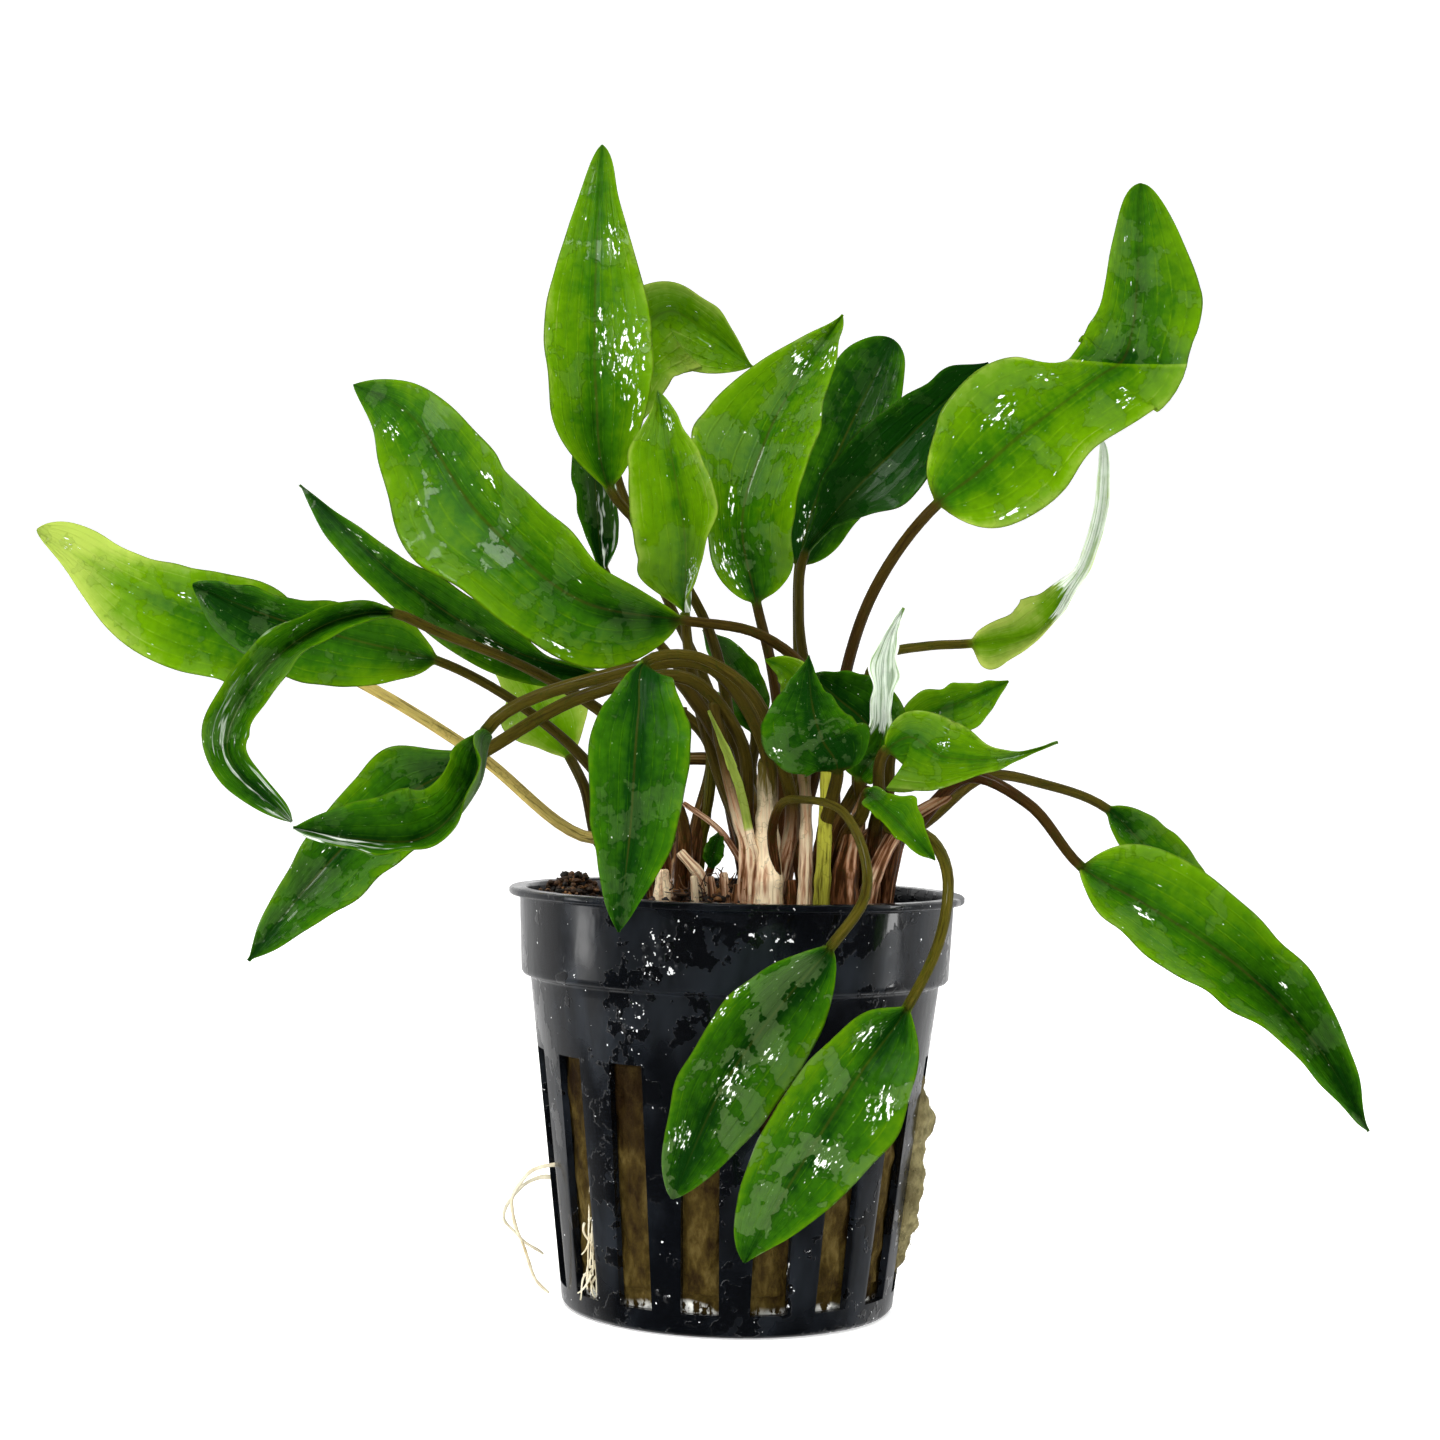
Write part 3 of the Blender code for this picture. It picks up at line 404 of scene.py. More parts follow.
def in_mm(metres):
    """A length property in millimetres, without the tail that its single precision adds."""
    return round(metres / MM, 4)


class PotProperties(bpy.types.PropertyGroup):
    """The net pot."""

    height: length_property("Height", "From the floor to the rim", POT_HIGH.z)
    rim_radius: length_property("Rim radius", "Outer edge of the rim", POT_HIGH.x)
    wall: length_property("Wall", "Thickness of the plastic", 0.9 * MM, min=0.3 * MM)
    slot_width: length_property("Slot width", "Width of a wall slot", 4.4 * MM)
    slot_low: length_property("Slot foot", "Height where the slots start", 2.8 * MM)
    slot_high: length_property("Slot head", "Height where the slots end", 31.0 * MM)
    slots: IntProperty(name="Slots", description="How many slots go round the wall", default=16)
    phase: FloatProperty(name="Phase", description="Turn from the front to the first slot", subtype="ANGLE",
                         default=math.radians(13.3))
    colour: colour_property("Plastic", "Colour of the plastic", 0.0015, 0.002, 0.003)
    film: colour_property("Water film", "Dull film on the plastic", 0.011, 0.0145, 0.020)
    wool: colour_property("Wool", "Wet mineral wool", 0.055, 0.036, 0.007)
    dry_wool: colour_property("Loose wool", "Wool that bulges out", 0.30, 0.26, 0.125)


class PlantProperties(bpy.types.PropertyGroup):
    """The leaves, stalks and roots."""

    thickness: length_property("Blade", "Thickness of a leaf blade", 0.34 * MM)
    vein: length_property("Veins", "How deep the long veins sink", 0.07 * MM)
    stalk: length_property("Stalk radius", "Halfway up the stalk", 0.66 * MM)
    sheath: length_property("Sheath radius", "Where a stalk leaves its crown", 1.0 * MM)
    gloss: share_property("Dry roughness", "Roughness between the wet patches", 0.42)
    glow: share_property("Glow", "Share of the light that passes a blade", 0.42)
    bright: colour_property("Young leaf", "Lightest blades", 0.14, 0.315, 0.001)
    mid: colour_property("Leaf", "Most blades", 0.026, 0.118, 0.001)
    dark: colour_property("Old leaf", "Darkest blades", 0.003, 0.032, 0.001)
    yellow: colour_property("Pale leaf", "Thin tips with the light through them", 0.55, 0.66, 0.12)
    # also the colour of the painted grey-green sheen on the water-film patches
    under: colour_property("Underside", "Pale back of a blade", 0.13, 0.21, 0.07)
    olive: colour_property("Green stalk", "Stalks with no blush", 0.066, 0.060, 0.004)
    tan: colour_property("Tan stalk", "Stalks with a blush below none", 0.52, 0.40, 0.11)
    red: colour_property("Red stalk", "Stalks with full blush", 0.032, 0.012, 0.003)
    flesh: colour_property("Crown", "Pale foot of the stalks", 0.98, 0.80, 0.53)
    # the colour of the painted silver sheen on the blades
    shine: colour_property("Silver film", "Where dried film shines", 0.84, 0.92, 0.80)
    root: colour_property("Root", "Young roots", 0.80, 0.74, 0.55)


class StageProperties(bpy.types.PropertyGroup):
    """The floor and the studio light."""

    floor: colour_property("Floor", "Floor and backdrop", 0.93, 0.93, 0.93)
    sky: share_property("Room light", "Strength of the light from the front", 0.1)
    backdrop: share_property("Backdrop light", "Strength of the light from behind", 1.0)
    front: share_property("Front reflections", "How bright the room in front is in a gloss", 0.05)
    back: share_property("Back reflections", "How bright the backdrop is in a gloss", 0.9)
    key: power_property("Key light", "Power of the small bright box", 3.2)
    fill: power_property("Fill light", "Power of the soft box beside the camera", 1.2)
    top: power_property("Top light", "Power of the wide box overhead", 6.0)
    edge: power_property("Edge light", "Power of each side strip", 1.0)


# Shapes


def unit(vectors):
    """The vectors divided by their own lengths."""
    return vectors / np.linalg.norm(vectors, axis=-1, keepdims=True)


def cubic_through(points, at):
    """Points of the smooth curve through the given ones, at the given lengths from 0 to 1.

    Between two points it is the cubic whose end slopes are those of the chords beside them.
    """
    points = np.asarray(points, float)
    if points.ndim == 1:
        steps = np.ones(len(points) - 1)
        points = points[:, None]
    else:
        steps = np.linalg.norm(np.diff(points, axis=0), axis=1)
    knots = np.concatenate([[0.0], np.cumsum(steps)])
    slopes = np.gradient(points, knots, axis=0)
    where = np.asarray(at, float) * knots[-1]
    i = np.clip(np.searchsorted(knots, where, side="right") - 1, 0, len(steps) - 1)
    h = steps[i][:, None]
    t = (where - knots[i])[:, None] / h
    return ((1 + 2 * t) * (1 - t) ** 2 * points[i] + t * (1 - t) ** 2 * h * slopes[i]
            + t * t * (3 - 2 * t) * points[i + 1] - t * t * (1 - t) * h * slopes[i + 1])


def at_steps(values, at):
    """One number for each place from 0 to 1, eased between values given at even steps."""
    return cubic_through(values, at)[:, 0]


def lumps(points, size, seed, waves=14):
    """A smooth random height from about -1 to 1: a sum of sine waves about `size` long that run every way."""
    random = np.random.default_rng(seed)
    way = unit(random.normal(size=(waves, 3))) * random.uniform(0.6, 1.7, (waves, 1)) * 2 * np.pi / size
    phase = random.uniform(0, 2 * np.pi, waves)
    return np.sin(points @ way.T + phase).sum(-1) / math.sqrt(waves)


def frames_along(line):
    """For each point of a line (count, rows, 3): two directions square to it.

    The first stays as near as it can to the plane square to one reference, which is the cross
    product of the way from end to end with a fixed slanting direction, so the frame hardly twists.
    """
    tangent = unit(np.gradient(line, axis=-2))
    reference = unit(np.cross(line[..., -1:, :] - line[..., :1, :], [0.31, 0.17, 0.93]))
    side = unit(np.cross(tangent, np.cross(reference, tangent)))
    return side, np.cross(tangent, side)


def tubes(lines, radii, around=6):
    """Round tubes: each point of a line (count, rows, 3) gets a ring of its radius, square to the line."""
    side, up = frames_along(lines)
    turn = np.arange(around) * 2 * np.pi / around
    ring = np.cos(turn)[:, None] * side[..., None, :] + np.sin(turn)[:, None] * up[..., None, :]
    return lines[..., None, :] + np.asarray(radii)[..., None, None] * ring


def skin(name, rings, finish, nodes=(), slot=None, **marks):
    """A closed mesh from rings (count, rows, around, 3) in millimetres.

    Neighbouring points of neighbouring rings make quads, and each end ring is closed by triangles
    to a point at its own middle. marks are numbers for each ring point, kept as point attributes.
    """
    rings = rings if rings.ndim == 4 else rings[None]
    count, rows, around, _ = rings.shape
    ends = np.stack([rings[:, 0].mean(1), rings[:, -1].mean(1)], 1)
    points = np.concatenate([rings.reshape(count, -1, 3), ends], 1).reshape(-1, 3)
    here = np.arange(rows - 1)[:, None] * around + np.arange(around)
    on = np.arange(rows - 1)[:, None] * around + (np.arange(around) + 1) % around
    quads = np.stack([here, on, on + around, here + around], -1).reshape(-1, 4)
    first, again = np.arange(around), (np.arange(around) + 1) % around
    last = (rows - 1) * around
    foot = np.stack([again, first, np.full(around, rows * around)], -1)
    tip = np.stack([first + last, again + last, np.full(around, rows * around + 1)], -1)
    each = rows * around + 2
    shift = (np.arange(count) * each)[:, None, None]
    faces = [(kind + shift).reshape(-1, kind.shape[-1]).tolist() for kind in (quads, foot, tip)]
    made = bpy.data.meshes.new(name)
    made.from_pydata((points * MM).tolist(), [], sum(faces, []))
    for mark, values in marks.items():
        values = np.broadcast_to(values, (count, rows, around)).astype(np.float32)
        closed = np.concatenate([values.reshape(count, -1), values[:, [0, -1]].mean(-1)], 1)
        made.attributes.new(mark, "FLOAT", "POINT").data.foreach_set("value", closed.ravel())
    return piece(name, made, finish, nodes)


def piece(name, mesh, finish, nodes=()):
    """Puts a finished mesh in the scene, riding on the plant's one body."""
    mesh.polygons.foreach_set("use_smooth", np.full(len(mesh.polygons), True))
    mesh.materials.append(finish)
    made = bpy.data.objects.new(name + "_skin" if nodes else name, mesh)
    bpy.context.scene.collection.objects.link(made)
    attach(made, "root")
    if nodes:
        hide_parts(*nodes)
    return made


# Finishes


class Wire:
    """A node's output that can be reckoned with: each operator adds the Math node that does it."""

    def __init__(self, nodes, socket):
        self.nodes, self.socket = nodes, socket

    def math(self, operation, *others):
        """A Math node of this output and others, in that order."""
        return self.nodes.node("ShaderNodeMath", {"operation": operation}, self, *others)[0]

    def __add__(self, other):
        return self.math("ADD", other)

    def __sub__(self, other):
        return self.math("SUBTRACT", other)

    def __rsub__(self, other):  # a number less this
        return self.nodes.node("ShaderNodeMath", {"operation": "SUBTRACT"}, other, self)[0]

    def __mul__(self, other):
        return self.math("MULTIPLY", other)

    def __abs__(self):
        return self.math("ABSOLUTE")

    __radd__, __rmul__ = __add__, __mul__

    def step(self, low, high):
        """0 at low, 1 at high and beyond, and a smooth run between, also where low is above high."""
        return self.eased(low, high, 0.0, 1.0) if low < high else self.eased(high, low, 1.0, 0.0)

    def eased(self, low, high, at_low, at_high):
        """at_low up to low, at_high from high on, and a smooth run between."""
        settings = {"interpolation_type": "SMOOTHSTEP"}
        return self.nodes.node("ShaderNodeMapRange", settings, self, low, high, at_low, at_high)[0]


class Nodes:
    """A node tree, and the one way to add a node to it."""

    def __init__(self, tree):
        self.tree = tree

    def node(self, kind, settings=None, *inputs, **named):
        """Adds a node: its settings first, then values or links for its sockets in order or by name."""
        made = self.tree.nodes.new(kind)
        for setting, value in (settings or {}).items():
            if setting == "stops":
                ramp = made.color_ramp
                while len(ramp.elements) < len(value):
                    ramp.elements.new(1.0)
                for element, (place, colour) in zip(ramp.elements, value):
                    element.position, element.color = place, (*colour, 1.0)
            else:
                setattr(made, setting, value)
        sockets = [s for s in made.inputs if s.enabled]
        pairs = list(zip(sockets, inputs)) + [(self.named(sockets, k), v) for k, v in named.items()]
        for socket, value in pairs:
            self.feed(socket, value)
        return [Wire(self, s) for s in made.outputs if s.enabled]

    @staticmethod
    def named(sockets, key):
        """The socket whose name is key, in small letters with an underscore for each space."""
        return next(s for s in sockets if s.name.lower().replace(" ", "_") == key)

    def feed(self, socket, value):
        """Links a wire to a socket, or gives the socket a number or a colour."""
        if isinstance(value, Wire):
            self.tree.links.new(value.socket, socket)
        elif hasattr(socket.default_value, "__len__") and len(socket.default_value) == 4:
            socket.default_value = (*value, 1.0)[:4]
        else:
            socket.default_value = value

    def show(self, shader):
        """Links a shader to the tree's output."""
        end = next(node for node in self.tree.nodes if node.bl_idname.startswith("ShaderNodeOutput"))
        self.feed(end.inputs["Surface"], shader)


class Paint(Nodes):
    """A material, with its node tree and its Principled shader."""

    def __init__(self, name):
        self.material = bpy.data.materials.new(name)
        self.material.use_nodes = True
        super().__init__(self.material.node_tree)
        self.shader = self.tree.nodes["Principled BSDF"]

    def set(self, **values):
        """Gives sockets of the Principled shader their values or links."""
        for key, value in values.items():
            self.feed(self.named(self.shader.inputs, key), value)

    def places(self, scale=(1.0, 1.0, 1.0)):
        """Object coordinates in metres, stretched by a scale."""
        at = self.node("ShaderNodeTexCoord")[3]
        return self.node("ShaderNodeMapping", None, vector=at, scale=scale)[0]

    def mark(self, name):
        """A number that the mesh keeps for each point."""
        return self.node("ShaderNodeAttribute", {"attribute_name": name})[2]

    def noise(self, size, vector, detail=3.0, rough=0.5, plane=False):
        """Cloudy noise from 0 to 1 with clumps about `size` metres across, in space or in a plane."""
        return self.node("ShaderNodeTexNoise", {"noise_dimensions": "2D" if plane else "3D"}, vector=vector,
                         scale=1.0 / size, detail=detail, roughness=rough)[0]

    def ramp(self, share, *stops):
        """A colour that runs smoothly through (place, colour) stops."""
        return self.node("ShaderNodeValToRGB", {"stops": stops}, share)[0]

    def blend(self, share, first, second):
        """The first colour where share is 0 and the second where it is 1."""
        return self.node("ShaderNodeMix", {"data_type": "RGBA"}, share, first, second)[0]

    def bump(self, height, distance, strength=1.0):
        """A normal tilted by the slope of a height from 0 to 1 that stands for a distance in metres."""
        return self.node("ShaderNodeBump", None, strength=strength, distance=distance, height=height)[0]

    def flat(self, x, y):
        """A place in the plane of X and Y, for a pattern that follows the surface."""
        return self.node("ShaderNodeCombineXYZ", None, x, y)[0]


BLACK, WHITE = (0.0, 0.0, 0.0), (1.0, 1.0, 1.0)
SIDE_VEINS = 4.6  # long veins on each half of a blade
NET = (9.0, 22.0)  # meshes of the fine vein net across a half and along the blade
PASSED_LIGHT = {"bright": (0.32, 0.52, 0.002), "mid": (0.17, 0.38, 0.002), "dark": (0.05, 0.19, 0.002),
                "silver": (0.14, 0.32, 0.02)}


def leaf_finish(tone, look):
    """A wet leaf, from the marks across, along, upper, young, blush, pale, wet, foot, film, glint and crease.

    The blade has long veins, yellower margins and a pale back, painted shade at its foot and painted
    light yellowing its thinnest tips. The stalk reddens and pales to its foot. Over both lie water-film
    patches painted with a grey-green sheen, runs of painted silver sheen and small hard painted glints,
    which glow a little.
    """
    paint = Paint("leaf_" + tone)
    across, along = paint.mark("across"), paint.mark("along")
    upper, young, blush, wet = (paint.mark(name) for name in ("upper", "young", "blush", "wet"))
    foot, crease = paint.mark("foot"), paint.mark("crease")
    out = abs(across)
    here = paint.places()
    leafwise = paint.flat(across * 0.007 + blush * 0.1, along * 0.014 + wet * 0.07)
    linewise = paint.flat(across * 0.007, along * 0.003)
    cloud = paint.noise(0.011, here, 2.0, 0.6)
    mottle = paint.noise(0.0024, here, 3.0, 0.6)
    fine = paint.noise(0.0009, here, 1.0, 0.5)
    runs = paint.noise(0.0024, leafwise, 2.0, 0.65, True)

    # the blade: how light it is, with painted shade darkening its foot and the thinnest tips yellow as
    # painted light passing through them
    vein_at = (out * SIDE_VEINS).math("FRACT")
    side_vein = abs(vein_at - 0.5).step(0.1, 0.02) * along.step(0.0, 0.08) * out.step(0.95, 0.85)
    shade = abs(vein_at - 0.66).step(0.16, 0.04) * out.step(0.95, 0.85)
    net = paint.node("ShaderNodeTexVoronoi", {"feature": "DISTANCE_TO_EDGE", "voronoi_dimensions": "2D"},
                     vector=paint.flat(across * NET[0], along * NET[1]), scale=1.0)[0]
    mesh_vein = net.step(0.07, 0.0)
    # young brings each blade's own tone together with painted light and shade for how lit it is
    light = young + (cloud - 0.5) * 0.6 + (mottle.step(0.3, 0.7) - 0.5) * 0.15 + (fine - 0.5) * 0.34
    light = light + out.step(0.4, 1.0) * 0.3 + out.step(0.85, 0.97) * 0.12
    light = light - out.step(0.35, 0.0) * 0.24 - shade * 0.05
    # painted shade darkens the foot of the blade, most near the midrib, and the blade also darkens toward its
    # tip
    light = light - along.step(0.35, 0.0) * (0.08 + out.step(0.9, 0.2) * 0.3) - along.step(0.55, 1.0) * 0.14
    light = light + side_vein * mottle.step(0.35, 0.6) * 0.17 + mesh_vein * 0.04
    # painted highlight in a band just below the crease, and painted shade above it
    light = light + crease.step(-0.7, -0.1) * crease.step(0.12, 0.0) * 0.35
    light = light - crease.step(0.0, 0.12) * crease.step(4.5, 0.3) * 0.4
    blade = paint.ramp(light * 0.6, (0.0, look.dark), (0.27, look.mid), (0.6, look.bright),
                       (1.0, look.yellow))
    blade = paint.blend(out.step(0.97, 0.99) * 0.35, blade, (0.05, 0.03, 0.008))
    under = paint.blend(cloud.step(0.2, 0.8), blade, look.under)
    blade = paint.blend(upper.step(0.4, -0.4) * 0.75, blade, under)

    # the stalk: blushed, streaked lengthwise, pale at its heel, and running on as the midrib
    stem = paint.blend(blush * (0.7 + foot.step(50.0, 20.0) * 0.3), look.olive, look.red)
    lengthwise = paint.flat(across * 0.0023 + blush * 0.05, foot * 0.00014 + wet * 0.03)
    streak = paint.noise(0.0009, lengthwise, 3.0, 0.65, True)
    stem = paint.blend(blush.step(0.0, -1.0) * (0.3 + streak), stem, look.tan)
    stem = paint.blend(streak.step(0.52, 0.72) * (0.25 - blush * 0.2), stem, (0.20, 0.13, 0.03))
    stem = paint.blend(young.step(1.7, 2.0) * (0.4 + streak * 0.8), stem, (0.48, 0.47, 0.05))
    stem = paint.blend(streak.step(0.47, 0.3) * 0.6, stem, (0.018, 0.009, 0.002))
    heel = paint.ramp(paint.mark("pale") + (streak - 0.5) * 1.8, (0.0, (0.04, 0.015, 0.004)),
                      (0.28, (0.19, 0.075, 0.03)), (0.52, (0.56, 0.31, 0.18)), (0.85, look.flesh))
    low = foot + (cloud - 0.5) * 8.0 + (streak - 0.5) * 14.0
    stem = paint.blend(low.step(20.0, 8.0), stem, heel)
    rib = out.step(0.035, 0.012) * along.step(1.0, 0.6)
    blade = paint.blend(rib * (blush * 0.25 + 0.25), blade, stem)
    colour = paint.blend(along.step(0.03, -0.02), blade, stem)

    # what lies on top: water film in patches, painted with a grey-green sheen and a dark rim, painted silver
    # sheen in runs, and painted glints with a painted halo
    patch = paint.noise(0.0065, here, 4.0, 0.66)
    film = (patch + wet * 0.05).step(0.56, 0.575) * along.step(0.02, 0.1)
    spark = paint.noise(0.0005, leafwise, 2.0, 0.6, True) * 0.65 + paint.noise(0.0007, here, 2.0, 0.6) * 0.35
    seen = spark + (paint.mark("glint") * 0.09).math("MAXIMUM", -0.08) + patch.step(0.50, 0.68) * wet * 0.05
    glare = seen.step(0.635, 0.66) * along.step(0.0, 0.06)
    halo = seen.step(0.585, 0.64) * along.step(0.0, 0.06)
    # painted silver sheen, in runs where the film mark is high and broken up by veins and mottle; it stands
    # for the shine of a wet film
    lines = paint.noise(0.0011, linewise, 2.0, 0.6, True)
    silver = (paint.mark("film") + (runs * 0.6 + lines * 0.4 - 0.5) * 1.9).step(0.42, 0.58)
    silver = silver * paint.mark("film").step(0.0, 0.1)
    dulled = 0.92 - side_vein * 0.3 - lines.step(0.5, 0.6) * 0.6 - mottle.step(0.45, 0.7) * 0.2
    # the water-film patches are painted with a grey-green sheen and drawn round with a dark rim
    colour = paint.blend(film * (wet * 0.3 + 0.03), colour, look.under)
    colour = paint.blend(abs(patch + wet * 0.05 - 0.56).step(0.012, 0.0) * 0.3, colour, look.dark)
    colour = paint.blend(silver * dulled, colour, look.shine)
    # painted highlights: a pale halo round each glint, and the glint itself near white
    colour = paint.blend(halo * 0.3, colour, (0.50, 0.72, 0.32))
    colour = paint.blend(glare * 0.9, colour, (0.95, 1.0, 0.92))

    relief = side_vein * -0.19 + mesh_vein * -0.06 + fine * 0.11 + film * 0.3 + glare * 0.6
    relief = relief + cloud * 1.2 + runs * 1.2
    # the painted glints and the painted silver sheen also glow a little, as painted light
    lit = (glare + silver * 0.3).math("MINIMUM", 1.0)
    paint.set(base_color=colour, roughness=look.gloss - (film + glare) * 0.13,
              coat_weight=film * wet * 0.35 + glare * 0.6 + along.step(0.0, -0.1) * 0.06 + 0.01,
              normal=paint.bump(relief, 0.0003), emission_color=paint.blend(lit, BLACK, WHITE))
    paint.set(coat_roughness=0.05, coat_ior=1.5, ior=1.4, specular_ior_level=0.04, emission_strength=0.4)
    passed = paint.node("ShaderNodeBsdfTranslucent", None, color=PASSED_LIGHT[tone])[0]
    share = along.step(-0.05, 0.1) * (light.step(-0.1, 1.2) * look.glow + 0.04)
    share = share * (1.0 - (glare + silver) * 0.9)
    glossy = Wire(paint, paint.shader.outputs[0])
    paint.show(paint.node("ShaderNodeMixShader", None, share, glossy, passed)[0])
    return paint.material


def flesh_finish():
    """The stem base: pale or brown by its mark, streaked lengthwise and spotted."""
    paint = Paint("crown_flesh")
    here = paint.places()
    streak = paint.noise(0.0008, paint.places((1.0, 1.0, 0.1)), 3.0, 0.6)
    blotch = paint.noise(0.0025, here, 3.0, 0.6)
    pale = paint.ramp(streak, (0.28, (0.30, 0.11, 0.06)), (0.45, (0.66, 0.38, 0.25)),
                      (0.6, (0.90, 0.72, 0.50)), (0.75, (0.97, 0.90, 0.76)))
    brown = paint.ramp(streak, (0.3, (0.05, 0.02, 0.006)), (0.5, (0.20, 0.10, 0.03)),
                       (0.7, (0.48, 0.28, 0.16)))
    colour = paint.blend(paint.mark("brown") * blotch.step(0.2, 0.45), pale, brown)
    colour = paint.blend(blotch.step(0.55, 0.75) * 0.7, colour, (0.09, 0.035, 0.01))
    paint.set(base_color=colour, roughness=0.35 + blotch * 0.2, coat_weight=blotch.step(0.4, 0.6) * 0.5,
              normal=paint.bump(streak + blotch, 0.0003, 0.8))
    paint.set(coat_roughness=0.1, subsurface_weight=0.15, subsurface_scale=0.0008)
    return paint.material


def root_finish(look):
    """A young root: white, with brownish streaks and a fine grain."""
    paint = Paint("root_white")
    streak = paint.noise(0.002, paint.places(), 4.0, 0.6)
    colour = paint.blend(streak.step(0.4, 0.8), look.root, (0.55, 0.42, 0.22))
    paint.set(base_color=colour, roughness=0.45 + streak * 0.2, normal=paint.bump(streak, 0.0001, 0.6))
    return paint.material


SPLASHES = (  # across, height and radius of each place on the pot where water splashed
    (-9.1, 44.1, 4.5), (2.8, 46.8, 3.5), (-5.9, 47.7, 2), (5.7, 46.4, 1.5), (-11.7, 36, 3.5), (6.5, 8, 2),
    (6.5, 5, 2), (-7.6, 4.4, 2), (19, 30, 4), (-7, 42.2, 1.5))


def plastic_finish(look):
    """Glossy black plastic: grey where a film dried, black where it is wet, beaded where it was splashed."""
    paint = Paint("black_plastic")
    here = paint.places()
    flat = paint.places((1.0, 0.0, 1.0))
    broad = paint.noise(0.02, here, 4.0, 0.6)
    dull = paint.noise(0.004, paint.places((1.0, 1.0, 0.35)), 3.0, 0.6).step(0.3, 0.7)
    torn = (paint.noise(0.003, here, 2.0, 0.5) - 0.5) * 0.006
    splash = 0.0
    for x, z, radius in SPLASHES:
        away = paint.node("ShaderNodeVectorMath", {"operation": "DISTANCE"}, flat, (x * MM, 0.0, z * MM))[0]
        splash = away.step(radius * MM, radius * 0.3 * MM).math("MAXIMUM", splash)
    splash = splash * (0.7 + torn * 100.0)
    wet = (paint.noise(0.0055, here, 4.0, 0.62) + splash * 0.08).step(0.55, 0.57)
    film = broad.step(0.40, 0.60) * (1.0 - wet)
    beads = paint.node("ShaderNodeTexVoronoi", None, vector=here, scale=700.0)[0].step(0.45, 0.1)
    # painted glints: near-white specks in the splashes, which also glow a little
    spark = (paint.noise(0.0007, here, 2.0, 0.6) + splash * 0.15).step(0.735, 0.76)
    colour = paint.blend(film * (0.15 + dull * 0.85), look.colour, look.film)
    colour = paint.blend(spark * 0.8, colour, (0.8, 0.82, 0.82))
    paint.set(base_color=colour, roughness=0.14 + film * 0.2, coat_weight=splash * 0.8 + wet * 0.3,
              normal=paint.bump(beads * splash * 1.4 + wet * 0.4 + dull * 0.08, 0.0003, 0.9),
              emission_color=paint.blend(spark, BLACK, WHITE))
    paint.set(coat_roughness=0.04, ior=1.5, specular_ior_level=0.3, emission_strength=0.3)
    return paint.material


def wool_finish(look):
    """Wet mineral wool: smeared brown and paler where it bulges out, with painted shade in dark blotches up
    its side and over its top.

    Its foot is painted white in fibre-like streaks, as painted light showing below the plug.
    """
    paint = Paint("mineral_wool")
    here = paint.places()
    fibre = paint.noise(0.0009, paint.places((1.0, 1.0, 0.55)), 3.0, 0.65)
    smear = paint.noise(0.004, paint.places((1.0, 1.0, 0.5)), 3.0, 0.6)
    cloud = paint.noise(0.008, here, 2.0, 0.6)
    height = paint.node("ShaderNodeSeparateXYZ", None, here)[2]
    share = smear.step(0.3, 0.7) * 0.65 + fibre.step(0.3, 0.7) * 0.35
    colour = paint.ramp(share, (0.05, (0.016, 0.008, 0.002)), (0.5, look.wool), (0.95, (0.12, 0.085, 0.024)))
    # painted shade: dark blotches, from a little above the foot upward
    painted_shade = cloud.step(0.4, 0.6) * height.step(0.008, 0.03) * 0.85
    colour = paint.blend(painted_shade, colour, (0.012, 0.005, 0.001))
    # painted shade: the wool is near black from 45 mm up to its top, inside the rim
    colour = paint.blend(height.step(0.045, 0.0465), colour, (0.010, 0.006, 0.003))
    # painted light: near-white fibre streaks at the foot, below about 6 mm
    bright = fibre.step(0.42, 0.52) * (height + cloud * 0.005).step(0.0062, 0.0052)
    colour = paint.blend(bright, colour, (1.0, 1.0, 0.94))
    loose = paint.blend(fibre.step(0.3, 0.7), look.dry_wool, tuple(c * 0.45 for c in look.dry_wool))
    colour = paint.blend(paint.mark("bulge"), colour, loose)
    paint.set(base_color=colour, roughness=0.85 - cloud * 0.25, normal=paint.bump(fibre + cloud, 0.0005, 0.9))
    paint.set(specular_ior_level=0.05)
    return paint.material


def floor_finish(look):
    """Matt white board with the faintest grain, lit a little from within."""
    paint = Paint("studio_floor")
    grain = paint.noise(0.02, paint.places(), 2.0, 0.5)
    paint.set(base_color=paint.blend(grain * 0.04, look.floor, WHITE), roughness=0.8)
    paint.set(specular_ior_level=0.1, emission_color=WHITE, emission_strength=0.55)
    return paint.material


# The leaves

STALK_ROWS = 34
BLADE_ROWS = 110
HALF = 20  # ring points from midrib to margin
VEIN_WAYS = (0.3, 0.58)  # where the two sunk veins lie on the way out
CREASE_STEP = 1.3  # how far a creased blade steps back
NO_CREASE = -99.0  # a height above the crease for what has none


def leaf_line(leaf):
    """The leaf's points from its seat on the crown to its tip, and how many are stalk."""
    turn = math.radians(leaf.seat)
    x, y = CROWNS[leaf.crown]
    out = np.array([math.sin(turn), -math.cos(turn), 0.0])
    foot = np.array([x, y, SEAT_HEIGHT]) + SEAT_RING * out
    rise = foot + SEAT_RISE * unit(np.array([0.0, 0.0, 1.0]) + SEAT_SPREAD * out)
    start = leaf.start or (foot + SHEATH_FOOT * out + [0, 0, -SHEATH_DEPTH], foot, rise)
    return np.array([*start, *leaf.stalk, *leaf.blade], float), 3 + len(leaf.stalk)


